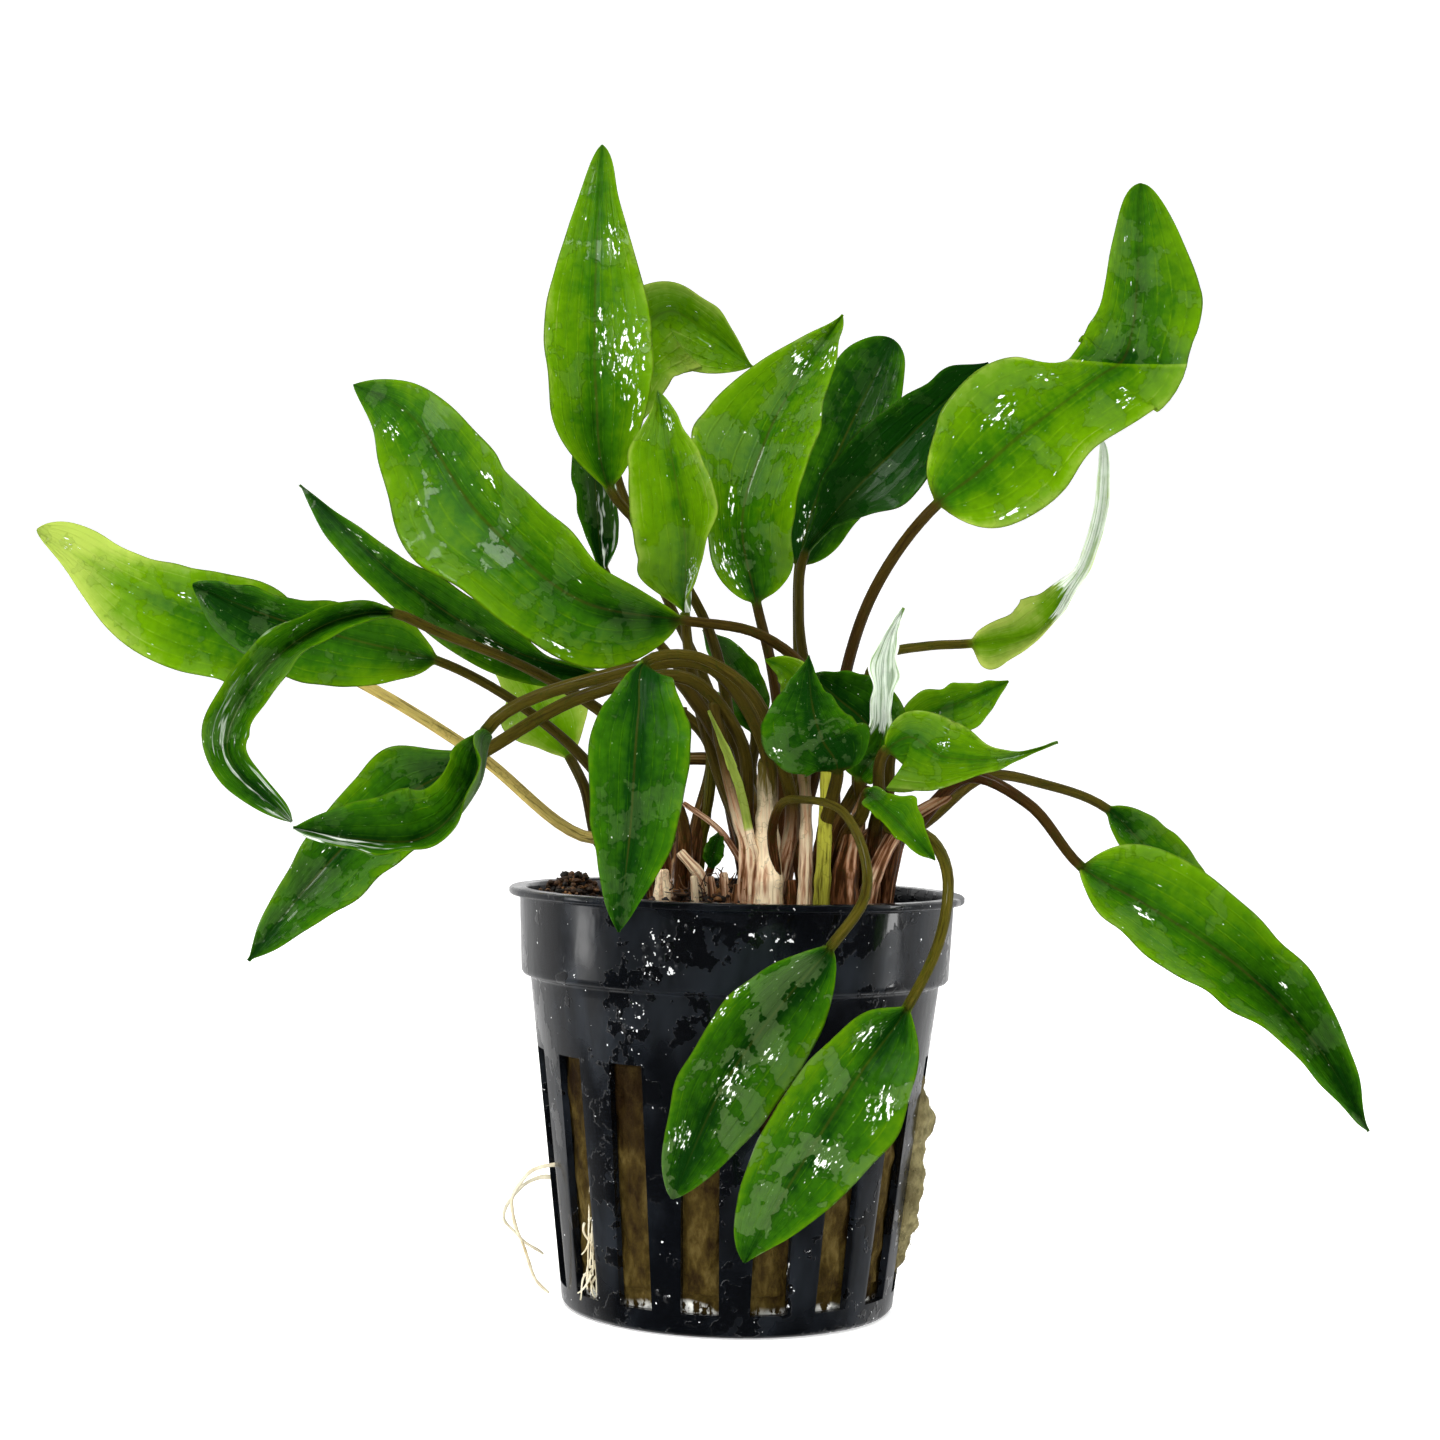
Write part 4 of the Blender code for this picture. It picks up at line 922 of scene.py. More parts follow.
def walked(turn, cup, side, across, toward):
    """Half a blade's section, walked outwards from the midrib in small steps.

    The heading starts square to the midrib and eases to `turn` within the first tenth. `cup` is
    the further turn that it makes from the blade's middle on, taken off before it. Returns each
    step's place for a half width of 1, and the direction square to the blade there.
    """
    u = np.linspace(0, 1, HALF + 1)
    heading = turn[:, None] * (1 - np.exp(-u / 0.05)) + cup * (u - 0.5) * (1 - np.exp(-u / 0.1))
    steps = [(way[:, 1:] + way[:, :-1]) / 2 / HALF for way in (np.cos(heading), np.sin(heading))]
    reach, rise = (np.pad(np.cumsum(step, 1), ((0, 0), (1, 0))) for step in steps)
    outwards, forwards = side * across[:, None], toward[:, None]
    place = reach[..., None] * outwards + rise[..., None] * forwards
    square = np.cos(heading)[..., None] * forwards - np.sin(heading)[..., None] * outwards
    return place, square


def glints_on(leaf, across, along):
    """1 in the middle of each of the leaf's ovals of shine, 0 at its edge and below 0 outside."""
    near = np.full(np.broadcast_shapes(across.shape, along.shape), -1.0)
    for middle, place, width, length in leaf.glints:
        near = np.maximum(near, 1 - ((across - middle) / width) ** 2 - ((along - place) / length) ** 2)
    return near


def leaf_rings(leaf, look):
    """Rings along the leaf: a round stalk that opens into a thin folded blade.

    A ring runs from the upper midrib over the right half, back under it, on under the left half and
    back over it. Each half's width is s^base (1 - s)^point along the blade, times its own edge steps.
    The margin ripples by two sines of s that grow with the way out to the power 2.2, two long veins
    sink as bell curves of the way out, and the midrib is a bell as wide as the stalk, a groove
    above and a ridge below.
    """
    points, stalk_count = leaf_line(leaf)
    lengths = np.concatenate([[0.0], np.cumsum(np.linalg.norm(np.diff(points, axis=0), axis=1))])
    blade_from = lengths[stalk_count] / lengths[-1]
    even = np.linspace(0, 1, BLADE_ROWS)
    s = (1 - np.cos(np.pi * even)) / 2 * 0.6 + even * 0.4
    stalk_at = np.linspace(0, 1, STALK_ROWS, endpoint=False)
    along = np.concatenate([stalk_at * blade_from, blade_from + (1 - blade_from) * s])
    mark_along = np.concatenate([stalk_at - 1, s])
    s = np.concatenate([np.zeros(STALK_ROWS), s])
    centre = cubic_through(points, along)
    tangent = unit(cubic_through(points, np.clip(along + 1e-3, 0, 1))
                   - cubic_through(points, np.clip(along - 1e-3, 0, 1)))
    across = unit(np.cross(tangent, FRONT))
    toward = np.cross(across, tangent)
    slant = np.radians(at_steps(leaf.skew, s) * np.clip(s * 8, 0, 1))[:, None]
    across = across * np.cos(slant) + tangent * np.sin(slant)

    widest = leaf.base / (leaf.base + leaf.point)
    peak = widest ** leaf.base * (1 - widest) ** leaf.point
    half = np.maximum(leaf.half_width * s ** leaf.base * (1 - s) ** leaf.point / peak, 0.15 * (s > 0.5))
    low, upright = leaf.foot * in_mm(look.sheath), in_mm(look.stalk)
    stalk = np.interp(along * lengths[-1], [0, 9, 22, 40], [low, low, low * 0.78, upright * leaf.thick])
    stalk = stalk * np.interp(mark_along, [-1, 0, 1], [1.0, 0.9, 0.2])
    flat = np.clip(half / (2 * upright), 0, 1)
    flat = np.where(s > 0.5, 1.0, flat * flat * (3 - 2 * flat))[:, None, None]
    cup = math.radians(leaf.cup)
    u = np.linspace(0, 1, HALF + 1)
    swell = np.sqrt(np.clip(4 * s * (1 - s), 0, 1))
    halves = []
    for side, turns, edge in ((1, leaf.right, leaf.right_edge), (-1, leaf.left, leaf.left_edge)):
        turn = np.radians(at_steps(turns, s))
        width = half * at_steps(edge, s)
        place, square = walked(turn, cup, side, across, toward)
        wave = np.sin(2 * np.pi * (leaf.waves * s + side * 0.17) + leaf.seat)
        wave = wave + 0.5 * np.sin(2 * np.pi * leaf.waves * 1.73 * s + leaf.seat * 2 + side)
        ripple = leaf.ripple * (wave * swell)[:, None] * u ** 2.2
        sunk = -in_mm(look.vein) * sum(np.exp(-((u - way) / 0.05) ** 2) for way in VEIN_WAYS) * swell[:, None]
        middle = centre[:, None] + width[:, None, None] * place + (ripple + sunk)[..., None] * square
        thin = in_mm(look.thickness) / 2 * np.sqrt(1 - u ** 6) * np.clip(width / 1.2, 0.35, 1)[:, None]
        bed = np.exp(-(width[:, None] * u / (stalk[:, None] * 0.9 + 0.05)) ** 2)
        groove = 0.6 * thin * bed
        ridge = (stalk * 1.1)[:, None] * bed
        front = middle + (thin - groove)[..., None] * square
        back = middle - (thin + ridge)[..., None] * square
        halves.append((front, back))
    (right_front, right_back), (left_front, left_back) = halves
    blade = np.concatenate([right_front, right_back[:, -2::-1], left_back[:, 1:], left_front[:, -2:0:-1]], 1)
    turn = np.pi / 2 - np.arange(4 * HALF) * 2 * np.pi / (4 * HALF)
    round_at = (centre[:, None] + stalk[:, None, None]
                * (np.cos(turn)[:, None] * across[:, None] + np.sin(turn)[:, None] * toward[:, None]))
    rings = round_at * (1 - flat) + blade * flat
    way = np.concatenate([u, u[-2::-1], -u[1:], -u[-2:0:-1]])
    face = np.concatenate([np.ones(HALF + 1), -np.ones(2 * HALF - 1), np.ones(HALF)])
    # young: each blade's own tone together with painted light and shade for how lit it is
    young = at_steps(leaf.young, s)[:, None] if isinstance(leaf.young, tuple) else leaf.young
    # how much painted silver sheen each half shows, kept as the mark film
    film = np.stack([at_steps(leaf.right_sheen, s), at_steps(leaf.left_sheen, s)])[(way < 0).astype(int)].T
    marks = {"across": way, "along": mark_along[:, None], "upper": face, "young": young, "blush": leaf.blush,
             "film": film * (mark_along > 0)[:, None], "foot": (along * lengths[-1])[:, None],
             "crease": NO_CREASE, "pale": leaf.pale, "wet": leaf.wet,
             "glint": np.where(face > 0, glints_on(leaf, way, mark_along[:, None]), -1.0)}
    if leaf.crease:
        marks["crease"] = above = rings[..., 2] - leaf.crease[0] - leaf.crease[1] * rings[..., 0]
        rings = rings + (CREASE_STEP / (1 + np.exp(-4 * above)))[..., None] * [0, 1, 0]
    marks = {name: np.broadcast_to(value, rings.shape[:2])[:, ::-1] for name, value in marks.items()}
    return rings[:, ::-1], marks


class PETCHII_OT_leaves(bpy.types.Operator):
    """Grows every leaf, stalk and blade in one skin"""

    bl_idname = "petchii.leaves"
    bl_label = "Leaves"

    def execute(self, context):
        look = context.scene.petchii_plant
        finishes = {tone: leaf_finish(tone, look) for tone in ("bright", "mid", "dark", "silver")}
        for name, leaf in {**LEAVES, **SCRAPS}.items():
            rings, marks = leaf_rings(leaf, look)
            nodes, slot = ((name,), "leaf_" + leaf.tone) if name in LEAVES else ((), None)
            skin(name, rings, finishes[leaf.tone], nodes, slot, **marks)
        return {"FINISHED"}


class PETCHII_OT_crowns(bpy.types.Operator):
    """Grows the pale crowns that the stalks leave"""

    bl_idname = "petchii.crowns"
    bl_label = "Crowns"

    def execute(self, context):
        finish = flesh_finish()
        for name, place in CROWNS.items():
            seats = [math.radians(leaf.seat) for leaf in LEAVES.values() if leaf.crown == name]
            skin(name, crown_rings(place, seats), finish, (name,), "crown_flesh",
                 brown=float(name != PALE_CROWN))
        return {"FINISHED"}


def crown_rings(place, seats):
    """A tapered stem with a lobe toward each leaf, a bell curve of the turn, and scars at five heights.

    Its end is rounded by the square root of what is left of its height.
    """
    z = np.linspace(0, 1, 60)[:, None]
    turn = np.arange(48) * 2 * np.pi / 48
    radius = CROWN_LOW_RADIUS + (CROWN_HIGH_RADIUS - CROWN_LOW_RADIUS) * z
    lobes = sum(np.exp(-((np.angle(np.exp(1j * (turn + np.pi / 2 - seat))) / 0.45) ** 2)) for seat in seats)
    radius = radius * (1 + 0.28 * lobes * np.sin(np.pi * np.clip(z * 1.1, 0, 1)))
    radius = radius * (1 + 0.05 * np.maximum(np.sin(z * 2 * np.pi * 5), 0) ** 6)
    radius = radius * np.sqrt(np.clip((1 - z) * 14, 0, 1))
    x = place[0] + radius * np.cos(turn)
    y = place[1] + radius * np.sin(turn)
    high = CROWN_LOW + (CROWN_HIGH - CROWN_LOW) * z + 0 * turn
    rings = np.stack([x, y, high], -1)
    return rings + 0.06 * lumps(rings, 1.5, 3)[..., None] * [1, 1, 0]


STEMS = {  # points, radii at even steps, blush, and how pale the foot is
    "stem_cut_low": ([(-8.7, -11, 46.5), (-8.7, -11, 50), (-8.9, -11, 52.8)], (1.1, 1.1, 0.8), 0.4, 0.85),
    "stem_cut_slant": ([(-3.6, -9.8, 47), (-4.2, -10, 51.6), (-6.9, -10, 54.9)], (0.8, 0.75, 0.6), 0.5, 0.75),
    "stem_cut_short": (
        [(-4.9, -12, 46.5), (-4.9, -12.2, 49), (-5.2, -12.2, 52.2)], (0.5, 0.5, 0.4), 0.2, 0.8),
    "stem_cut_side": ([(0.6, -8.6, 53.5), (-2.2, -9, 57.4), (-6.6, -9.6, 60.6)], (0.45, 0.3), -0.6, 0.35),
    "stub_left": ([(-2.9, -12, 46.5), (-2.9, -12.2, 50), (-3.2, -12.2, 52.2)], (0.6, 0.65, 0.4), 0.2, 0.3),
    "stub_middle": ([(-1.5, -12.2, 46.5), (-1.5, -12.4, 50), (-1.7, -12.4, 52.7)], (0.7, 0.7, 0.5), 0.2, 0.4),
    "stub_right": ([(-0.2, -12.6, 46.5), (-0.2, -12.8, 49), (-0.1, -12.8, 51.4)], (0.6, 0.6, 0.4), 0.2, 0.25),
    "stub_red": ([(6.4, -11.5, 46.5), (6.4, -11.7, 50), (6.2, -11.7, 52)], (0.8, 0.8, 0.6), 1.0, 0.1),
    "stem_thin": (
        [(-5, -2, 46), (-4.6, -2.4, 54), (-3.6, -2.6, 62), (-3.5, -2.4, 67)], (0.75, 0.6), 0.0, 0.0),
    "stem_level": ([(-8, -1, 65.6), (-5, -1.4, 65.8), (-2, -1.4, 65.7)], (0.75, 0.7), 0.0, 0.0),
    "stem_thin_dark": ([(-7.5, 2, 46), (-7.2, 2, 54), (-7.4, 2.4, 62), (-7, 3, 72)], (0.7, 0.5), 0.3, 0.0),
    "stem_brown": ([(2.2, -8.4, 46), (0.6, -8, 56), (-2.5, -7.6, 68), (-8, -9, 76)], (1.05, 0.85), 0.75, 0.0),
    "stem_left": (
        [(0.9, -12.4, 46.5), (1.0, -12.6, 51), (1.0, -12.6, 55.4), (-0.4, -12.5, 60.5), (-1.85, -12.4, 65.8),
         (-3.4, -12.4, 72.5)], (1.2, 1.1, 0.95, 0.85, 0.8, 0.7), 0.6, 0.55),
    "stem_base": (
        [(3.4, -12.2, 46.5), (3.5, -12.4, 50), (3.4, -12.2, 54.5), (3.1, -12.6, 60), (2.8, -14.8, 66)],
        (1.7, 1.75, 1.45, 1.1, 0.9), 0.3, 0.9),
    "stem_pink": (
        [(7.8, -12.6, 46.5), (7.8, -13, 55), (7.6, -12.4, 62), (6.6, -10.4, 70)], (1.0, 0.75, 0.7), 0.5, 0.7),
    "stem_yellow": (
        [(9.6, -14.6, 46.5), (9.8, -15, 54), (9.9, -14.6, 60), (10, -13.4, 65.5)], (1.0, 0.85, 0.7),
        0.0, 0.0),
    "stem_broad": (
        [(12.4, -13, 46.5), (12.4, -13, 50), (12.6, -12.8, 54), (13.4, -12.5, 58), (15, -11, 63)],
        (1.9, 1.8, 1.3, 0.9, 0.7), 0.6, 0.2),
    "stem_aside": (
        [(14.8, -12, 46.5), (15.1, -12, 50), (16.6, -11.5, 54.5), (18.8, -10.5, 58.3), (24.6, -9.8, 62.4)],
        (1.2, 1.1, 0.95, 0.8, 0.7), 0.8, 0.3),
}

STEM_ROWS = 60
STEM_AROUND = 20


class PETCHII_OT_stems(bpy.types.Operator):
    """Adds the cut stumps and thin stems between the crowns"""

    bl_idname = "petchii.stems"
    bl_label = "Cut stems"

    def execute(self, context):
        look = context.scene.petchii_plant
        finish = leaf_finish("mid", look)
        at = np.linspace(0, 1, STEM_ROWS)
        round_it = 1 - 2 * abs(np.linspace(-1, 1, STEM_AROUND, endpoint=False))
        for name, (points, radii, blush, pale) in STEMS.items():
            line = cubic_through(points, at)
            radius = np.interp(at, np.linspace(0, 1, len(radii)), radii)
            radius = radius * np.interp(at, [0, 0.97, 1], [1, 1, 0.8])
            radius = radius * (1 + 0.06 * lumps(line, 3.0, 6))
            foot = line[:, 2] - line[0, 2] + (0 if pale else 12)
            skin(name, tubes(line[None], radius[None], STEM_AROUND), finish, across=round_it, along=-0.5,
                 upper=1.0, film=0.0, blush=blush, crease=NO_CREASE, young=2.0 * (name == "stem_yellow"),
                 wet=0.5, pale=pale, glint=-1.0, foot=foot[:, None])
        return {"FINISHED"}


def grains(places, sizes, seed, rows=7, around=9):
    """Lumpy little balls: spheres squeezed at random and roughened by a few sine waves."""
    random = np.random.default_rng(seed)
    down = np.linspace(0.12, np.pi - 0.12, rows)[:, None]
    turn = np.arange(around) * 2 * np.pi / around
    ball = np.stack([np.sin(down) * np.cos(turn), np.sin(down) * np.sin(turn), np.cos(down) + 0 * turn], -1)
    squeeze = random.uniform(0.6, 1.2, (len(places), 1, 1, 3)) * [1, 1, 0.7]
    rings = ball * squeeze
    aside = random.uniform(0, 50, (len(places), 1, 1, 1))
    rings = rings * (1 + 0.22 * lumps(rings * 2 + aside, 2.2, seed))[..., None]
    return np.asarray(places)[:, None, None] + rings * np.asarray(sizes)[:, None, None, None]


def fibres(starts, ways, lengths, bend, radius, seed, rows=7, around=4):
    """Fine threads: each leaves its start along its way and bends aside by a random arc as it goes."""
    random = np.random.default_rng(seed)
    at = np.linspace(0, 1, rows)[:, None]
    aside = unit(np.cross(ways, random.normal(size=ways.shape)))
    sway = np.sin(at * random.uniform(2, 5, (len(starts), 1, 1))) * random.uniform(-1, 1, (len(starts), 1, 1))
    lines = starts[:, None] + lengths[:, None, None] * (ways[:, None] * at + bend * aside[:, None] * sway)
    return tubes(lines, radius * (1 - 0.5 * at[:, 0]) * np.ones((len(starts), 1)), around)


CRUMB_BED = 47.7
CRUMB_REACH = 24.2  # crumbs lie within this radius, inside the pot's wall
CRUMBS = (  # middle across and in depth, half width, half depth, height, and how many
    (-20, 3, 4.5, 5, 3.9, 300), (-20.5, -6, 4, 4, 2.4, 120), (-6.5, -10.5, 5, 3, 2.6, 220),
    (-1.6, -12, 2.6, 1.6, 4.2, 200), (4, -12, 8, 3, 1.2, 160), (0, 2, 20, 18, 0.8, 400))
SOIL_FIBRES = 160
STEEP_FIBRES = 90  # how many of them stand up steeply


class PETCHII_OT_litter(bpy.types.Operator):
    """Scatters soil crumbs and root scraps over the wool around the crowns"""

    bl_idname = "petchii.litter"
    bl_label = "Soil crumbs"

    def execute(self, context):
        random = np.random.default_rng(21)
        places, sizes = [], []
        for x, y, wide, deep, rise, count in CRUMBS:
            aside = random.normal(0, 0.5, (count, 2))
            high = rise * random.uniform(0, 1, count) ** 0.7 * np.exp(-(aside ** 2).sum(1))
            places.append(np.column_stack([aside * [wide, deep] + [x, y], CRUMB_BED + high]))
            sizes.append(random.uniform(0.15, 0.55, count))
        places, sizes = np.concatenate(places), np.concatenate(sizes)
        keep = np.hypot(places[:, 0], places[:, 1]) < CRUMB_REACH
        places, sizes = places[keep], sizes[keep]
        skin("soil_crumbs", grains(places, sizes, 22), litter_finish(),
             rust=random.uniform(0, 0.9, (len(sizes), 1, 1)))
        count = SOIL_FIBRES
        turn = random.uniform(0, 2 * np.pi, count)
        steep = np.arange(count) < STEEP_FIBRES
        x = random.normal(-2, 1.6, count) * np.where(steep, 1, 2)
        y = random.normal(-11.5, 0.8, count)
        z = random.uniform(48, 51.4, count) - np.where(steep, 0, 0.6)
        rise = np.where(steep, 1.5, 0.1) * random.uniform(0.5, 1.5, count)
        ways = unit(np.stack([np.cos(turn), np.sin(turn), rise], -1))
        lengths = random.uniform(1.0, 3.0, count)
        skin("soil_fibres", fibres(np.stack([x, y, z], -1), ways, lengths, 0.35, 0.1, 23), litter_finish(),
             rust=random.uniform(0.3, 1, (count, 1, 1)))
        return {"FINISHED"}


def litter_finish():
    """Soil and rotted fibre: black-brown to rusty by its mark."""
    paint = Paint("soil")
    grain = paint.noise(0.0006, paint.places(), 3.0, 0.6)
    colour = paint.ramp(paint.mark("rust") + (grain - 0.5) * 0.4, (0.2, (0.006, 0.004, 0.002)),
                        (0.7, (0.06, 0.025, 0.008)), (1.0, (0.30, 0.13, 0.03)))
    paint.set(base_color=colour, roughness=0.5 + grain * 0.4, normal=paint.bump(grain, 0.0002, 0.8))
    return paint.material


ROOT_RADIUS = 0.27
ROOTLETS = 16
LONG_ROOTLETS = 4  # how many of them hang down the whole slot
ROOTLET_SLOT = math.radians(3 * 22.5 - 2.5)  # turn from the first slot back to the one they hang in


class PETCHII_OT_roots(bpy.types.Operator):
    """Curls the two roots beside the pot, with the finer rootlets that leave them"""

    bl_idname = "petchii.roots"
    bl_label = "Roots"

    def execute(self, context):
        finish = root_finish(context.scene.petchii_plant)
        at = np.linspace(0, 1, 120)
        for name, points in ROOTS.items():
            line = cubic_through(points, at)
            line = line + 0.12 * np.stack([lumps(line, 5, k) for k in range(3)], -1)
            radius = ROOT_RADIUS * (1 - 0.35 * at) * (1 + 0.12 * lumps(line, 1.6, 5))
            skin(name, tubes(line[None], radius[None], 12), finish, (name,), "root_white")
        side = context.scene.petchii_pot.phase - ROOTLET_SLOT - np.pi / 2
        out = np.array([math.cos(side), math.sin(side), 0.0])
        down = np.array([0, 0, -1.0])
        random = np.random.default_rng(31)
        count, long = ROOTLETS, LONG_ROOTLETS
        start = out * random.uniform(19.6, 20.6, (count, 1)) + random.normal(0, 0.35, (count, 3)) * [1, 1, 0]
        start[:, 2] = random.uniform(3.5, 13, count)
        start[:long, 2] = random.uniform(24, 28, long)
        ways = unit(down + random.normal(0, 0.3, (count, 3)))
        ways[:long] = unit(down + random.normal(0, 0.03, (long, 3)))
        lengths = np.where(np.arange(count) < long, 21.0, random.uniform(1.5, 4.5, count))
        bend = np.where(np.arange(count) < long, 0.02, 0.3)[:, None, None]
        skin("roots_in_slot", fibres(start, ways, lengths, bend, 0.16, 32, 24, 8), finish)
        return {"FINISHED"}


# The pot

FLOOR = 1.2  # thickness of the floor
FLOOR_SLOT = (8, 16)  # radii where the floor's slots start and end
FLOOR_SLOT_HALF = 1.5  # half their width
OPEN_CELLS = 6  # columns of cells over each slot
SOLID_CELLS = 8  # columns of cells over each rib


def cone(height):
    """The outer radius of the wall's straight part, which widens evenly with height."""
    return 20.1 + 4.6 * (height - 1.8) / 37.8


def pot_walls(look):
    """The pot's outer and inner outline, as matching points from the middle of the floor to the rim.

    Each row of steps gives the radius and height of both, and how many even steps lead there.
    """
    top, rim, wall = in_mm(look.height), in_mm(look.rim_radius), in_mm(look.wall)
    low, high = in_mm(look.slot_low), in_mm(look.slot_high)
    steps = [
        ((0.4, 0), (0.4, FLOOR), 1), ((FLOOR_SLOT[0], 0), (FLOOR_SLOT[0], FLOOR), 4),
        ((FLOOR_SLOT[1], 0), (FLOOR_SLOT[1], FLOOR), 8), ((18.9, 0), (18.4, FLOOR), 3),
        ((19.6, 0.2), (18.9, 1.35), 2), ((20, 0.7), (19.15, 1.6), 2),
        ((cone(low), low), (cone(low) - wall, low), 2), ((cone(high), high), (cone(high) - wall, high), 30),
        ((24.65, 39.1), (24.65 - wall, 39.3), 8),
        ((25.0, 39.5), (23.9, 39.9), 2), ((25.55, 39.65), (24.4, 40.4), 2), ((25.8, 40.0), (24.8, 40.9), 2),
        ((25.84, 41), (24.95, 41.5), 2), ((26.2, top - 1.15), (25.3, top - 1.0), 10),
        ((26.5, top - 0.95), (25.33, top - 0.7), 2), ((rim - 0.2, top - 0.9), (25.36, top - 0.4), 3),
        ((rim, top - 0.7), (25.4, top - 0.2), 2), ((rim, top - 0.2), (25.5, top - 0.05), 2),
        ((rim - 0.25, top), (25.75, top), 2),
    ]
    outer, inner = [steps[0][0]], [steps[0][1]]
    for (o, i, count), before in zip(steps[1:], steps):
        share = np.linspace(0, 1, count + 1)[1:, None]
        outer.extend(np.array(before[0]) + (np.array(o) - before[0]) * share)
        inner.extend(np.array(before[1]) + (np.array(i) - before[1]) * share)
    return np.array(outer), np.array(inner)


class PETCHII_OT_net_pot(bpy.types.Operator):
    """Moulds the net pot: floor, slotted wall, ledge, band and rolled rim"""

    bl_idname = "petchii.net_pot"
    bl_label = "Net pot"

    def execute(self, context):
        look = context.scene.petchii_pot
        made = piece("pot", pot_mesh(look), plastic_finish(look), ("pot",))
        edge = made.modifiers.new("soft edges", "BEVEL")
        edge.width, edge.segments, edge.angle_limit = 0.18 * MM, 2, math.radians(50)
        edge.harden_normals = False
        even = made.modifiers.new("even shading", "WEIGHTED_NORMAL")
        even.keep_sharp = True
        return {"FINISHED"}


def pot_mesh(look):
    """The wall as cells between rows of its outline and columns of angle, with the slots' cells left out.

    Columns lie closer over the slots, and follow the slots' straight sides as the radius grows. Each
    cell has an outer and an inner face, and wherever a cell borders a slot its side is closed.
    """
    outer, inner = pot_walls(look)
    rows, sectors = len(outer), look.slots
    floor_zone = (outer[:, 1] == 0) & (outer[:, 0] < 18)
    slot_half = np.where(floor_zone, FLOOR_SLOT_HALF, in_mm(look.slot_width) / 2)
    half = np.arcsin(np.clip(slot_half / np.maximum(outer[:, 0], 7.5), 0, 0.19))
    sector = 2 * np.pi / sectors
    over_slot = -half[:, None] + 2 * half[:, None] * np.arange(OPEN_CELLS) / OPEN_CELLS
    over_rib = half[:, None] + (sector - 2 * half[:, None]) * np.arange(SOLID_CELLS) / SOLID_CELLS
    turn = np.concatenate([over_slot, over_rib], 1)
    turn = (turn[:, None] + (np.arange(sectors) * sector)[:, None]).reshape(rows, -1)
    turn = turn + look.phase - np.pi / 2
    columns = turn.shape[1]
    outside, inside = (np.stack([radius * np.cos(turn), radius * np.sin(turn), height + 0 * turn], -1)
                       for radius, height in (np.split(outline, 2, 1) for outline in (outer, inner)))
    points = np.concatenate([outside.reshape(-1, 3), inside.reshape(-1, 3), [[0, 0, 0], [0, 0, FLOOR]]])

    column = np.arange(columns)
    in_slot = column % (OPEN_CELLS + SOLID_CELLS) < OPEN_CELLS
    every_second = column // (OPEN_CELLS + SOLID_CELLS) % 2 == 0
    middle = (outer[1:] + outer[:-1]) / 2
    wall_slot = (middle[:, 1] > in_mm(look.slot_low)) & (middle[:, 1] < in_mm(look.slot_high))
    floor_slot = (middle[:, 1] == 0) & (middle[:, 0] > FLOOR_SLOT[0]) & (middle[:, 0] < FLOOR_SLOT[1])
    solid = ~(wall_slot[:, None] & in_slot | floor_slot[:, None] & (in_slot & every_second))

    row = np.arange(rows - 1)[:, None]
    a = row * columns + column
    b = row * columns + (column + 1) % columns
    c, d, under = b + columns, a + columns, rows * columns
    outer_faces = np.stack([a, b, c, d], -1)[solid]
    inner_faces = np.stack([a, d, c, b], -1)[solid] + under
    left = solid & ~np.roll(solid, 1, 1)
    right = solid & ~np.roll(solid, -1, 1)
    left_side = np.stack([a, d, d + under, a + under], -1)[left]
    right_side = np.stack([b, b + under, c + under, c], -1)[right]
    none = np.zeros((1, columns), bool)
    foot = solid & ~np.concatenate([~none, solid[:-1]])
    head = solid & ~np.concatenate([solid[1:], none])
    foot_side = np.stack([a, a + under, b + under, b], -1)[foot]
    head_side = np.stack([d, c, c + under, d + under], -1)[head]
    on = (column + 1) % columns
    low_pole = np.stack([on, column, np.full(columns, 2 * under)], -1)
    high_pole = np.stack([column + under, on + under, np.full(columns, 2 * under + 1)], -1)
    faces = [f for group in (outer_faces, inner_faces, left_side, right_side, foot_side, head_side,
                             low_pole, high_pole) for f in group.tolist()]
    mesh = bpy.data.meshes.new("pot")
    mesh.from_pydata((points * MM).tolist(), [], faces)
    return mesh


# The wool

WOOL_LOW = 2.4
WOOL_HIGH = 47.3
FOOT_ROWS, SIDE_ROWS, TOP_ROWS = 14, 150, 60
WOOL_AROUND = 320
TUFT_SLOTS = (3, 4)  # the slots that wool bulges from, counted from the first toward +X
FUZZ = 900  # loose fibres on the tufts


class PETCHII_OT_wool(bpy.types.Operator):
    """Packs the pot with mineral wool, whose surface is lumpy and bulges out of two slots"""

    bl_idname = "petchii.wool"
    bl_label = "Mineral wool"

    def execute(self, context):
        look = context.scene.petchii_pot
        finish = wool_finish(look)
        rings, bulge = wool_rings(look)
        skin("wool_plug", rings, finish, ("wool_plug",), "mineral_wool", bulge=bulge)
        random = np.random.default_rng(41)
        loose = rings[(bulge > 0.35) & (rings[..., 2] > 0)]
        loose = loose[random.integers(0, len(loose), FUZZ)]
        out = unit(loose * [1, 1, 0])
        ways = unit(out * 0.5 + random.normal(0, 0.6, loose.shape))
        lengths = random.uniform(0.5, 1.6, FUZZ)
        skin("wool_fuzz", fibres(loose - 0.3 * out, ways, lengths, 0.5, 0.03, 42, 6, 3), finish, bulge=1.0)
        return {"FINISHED"}


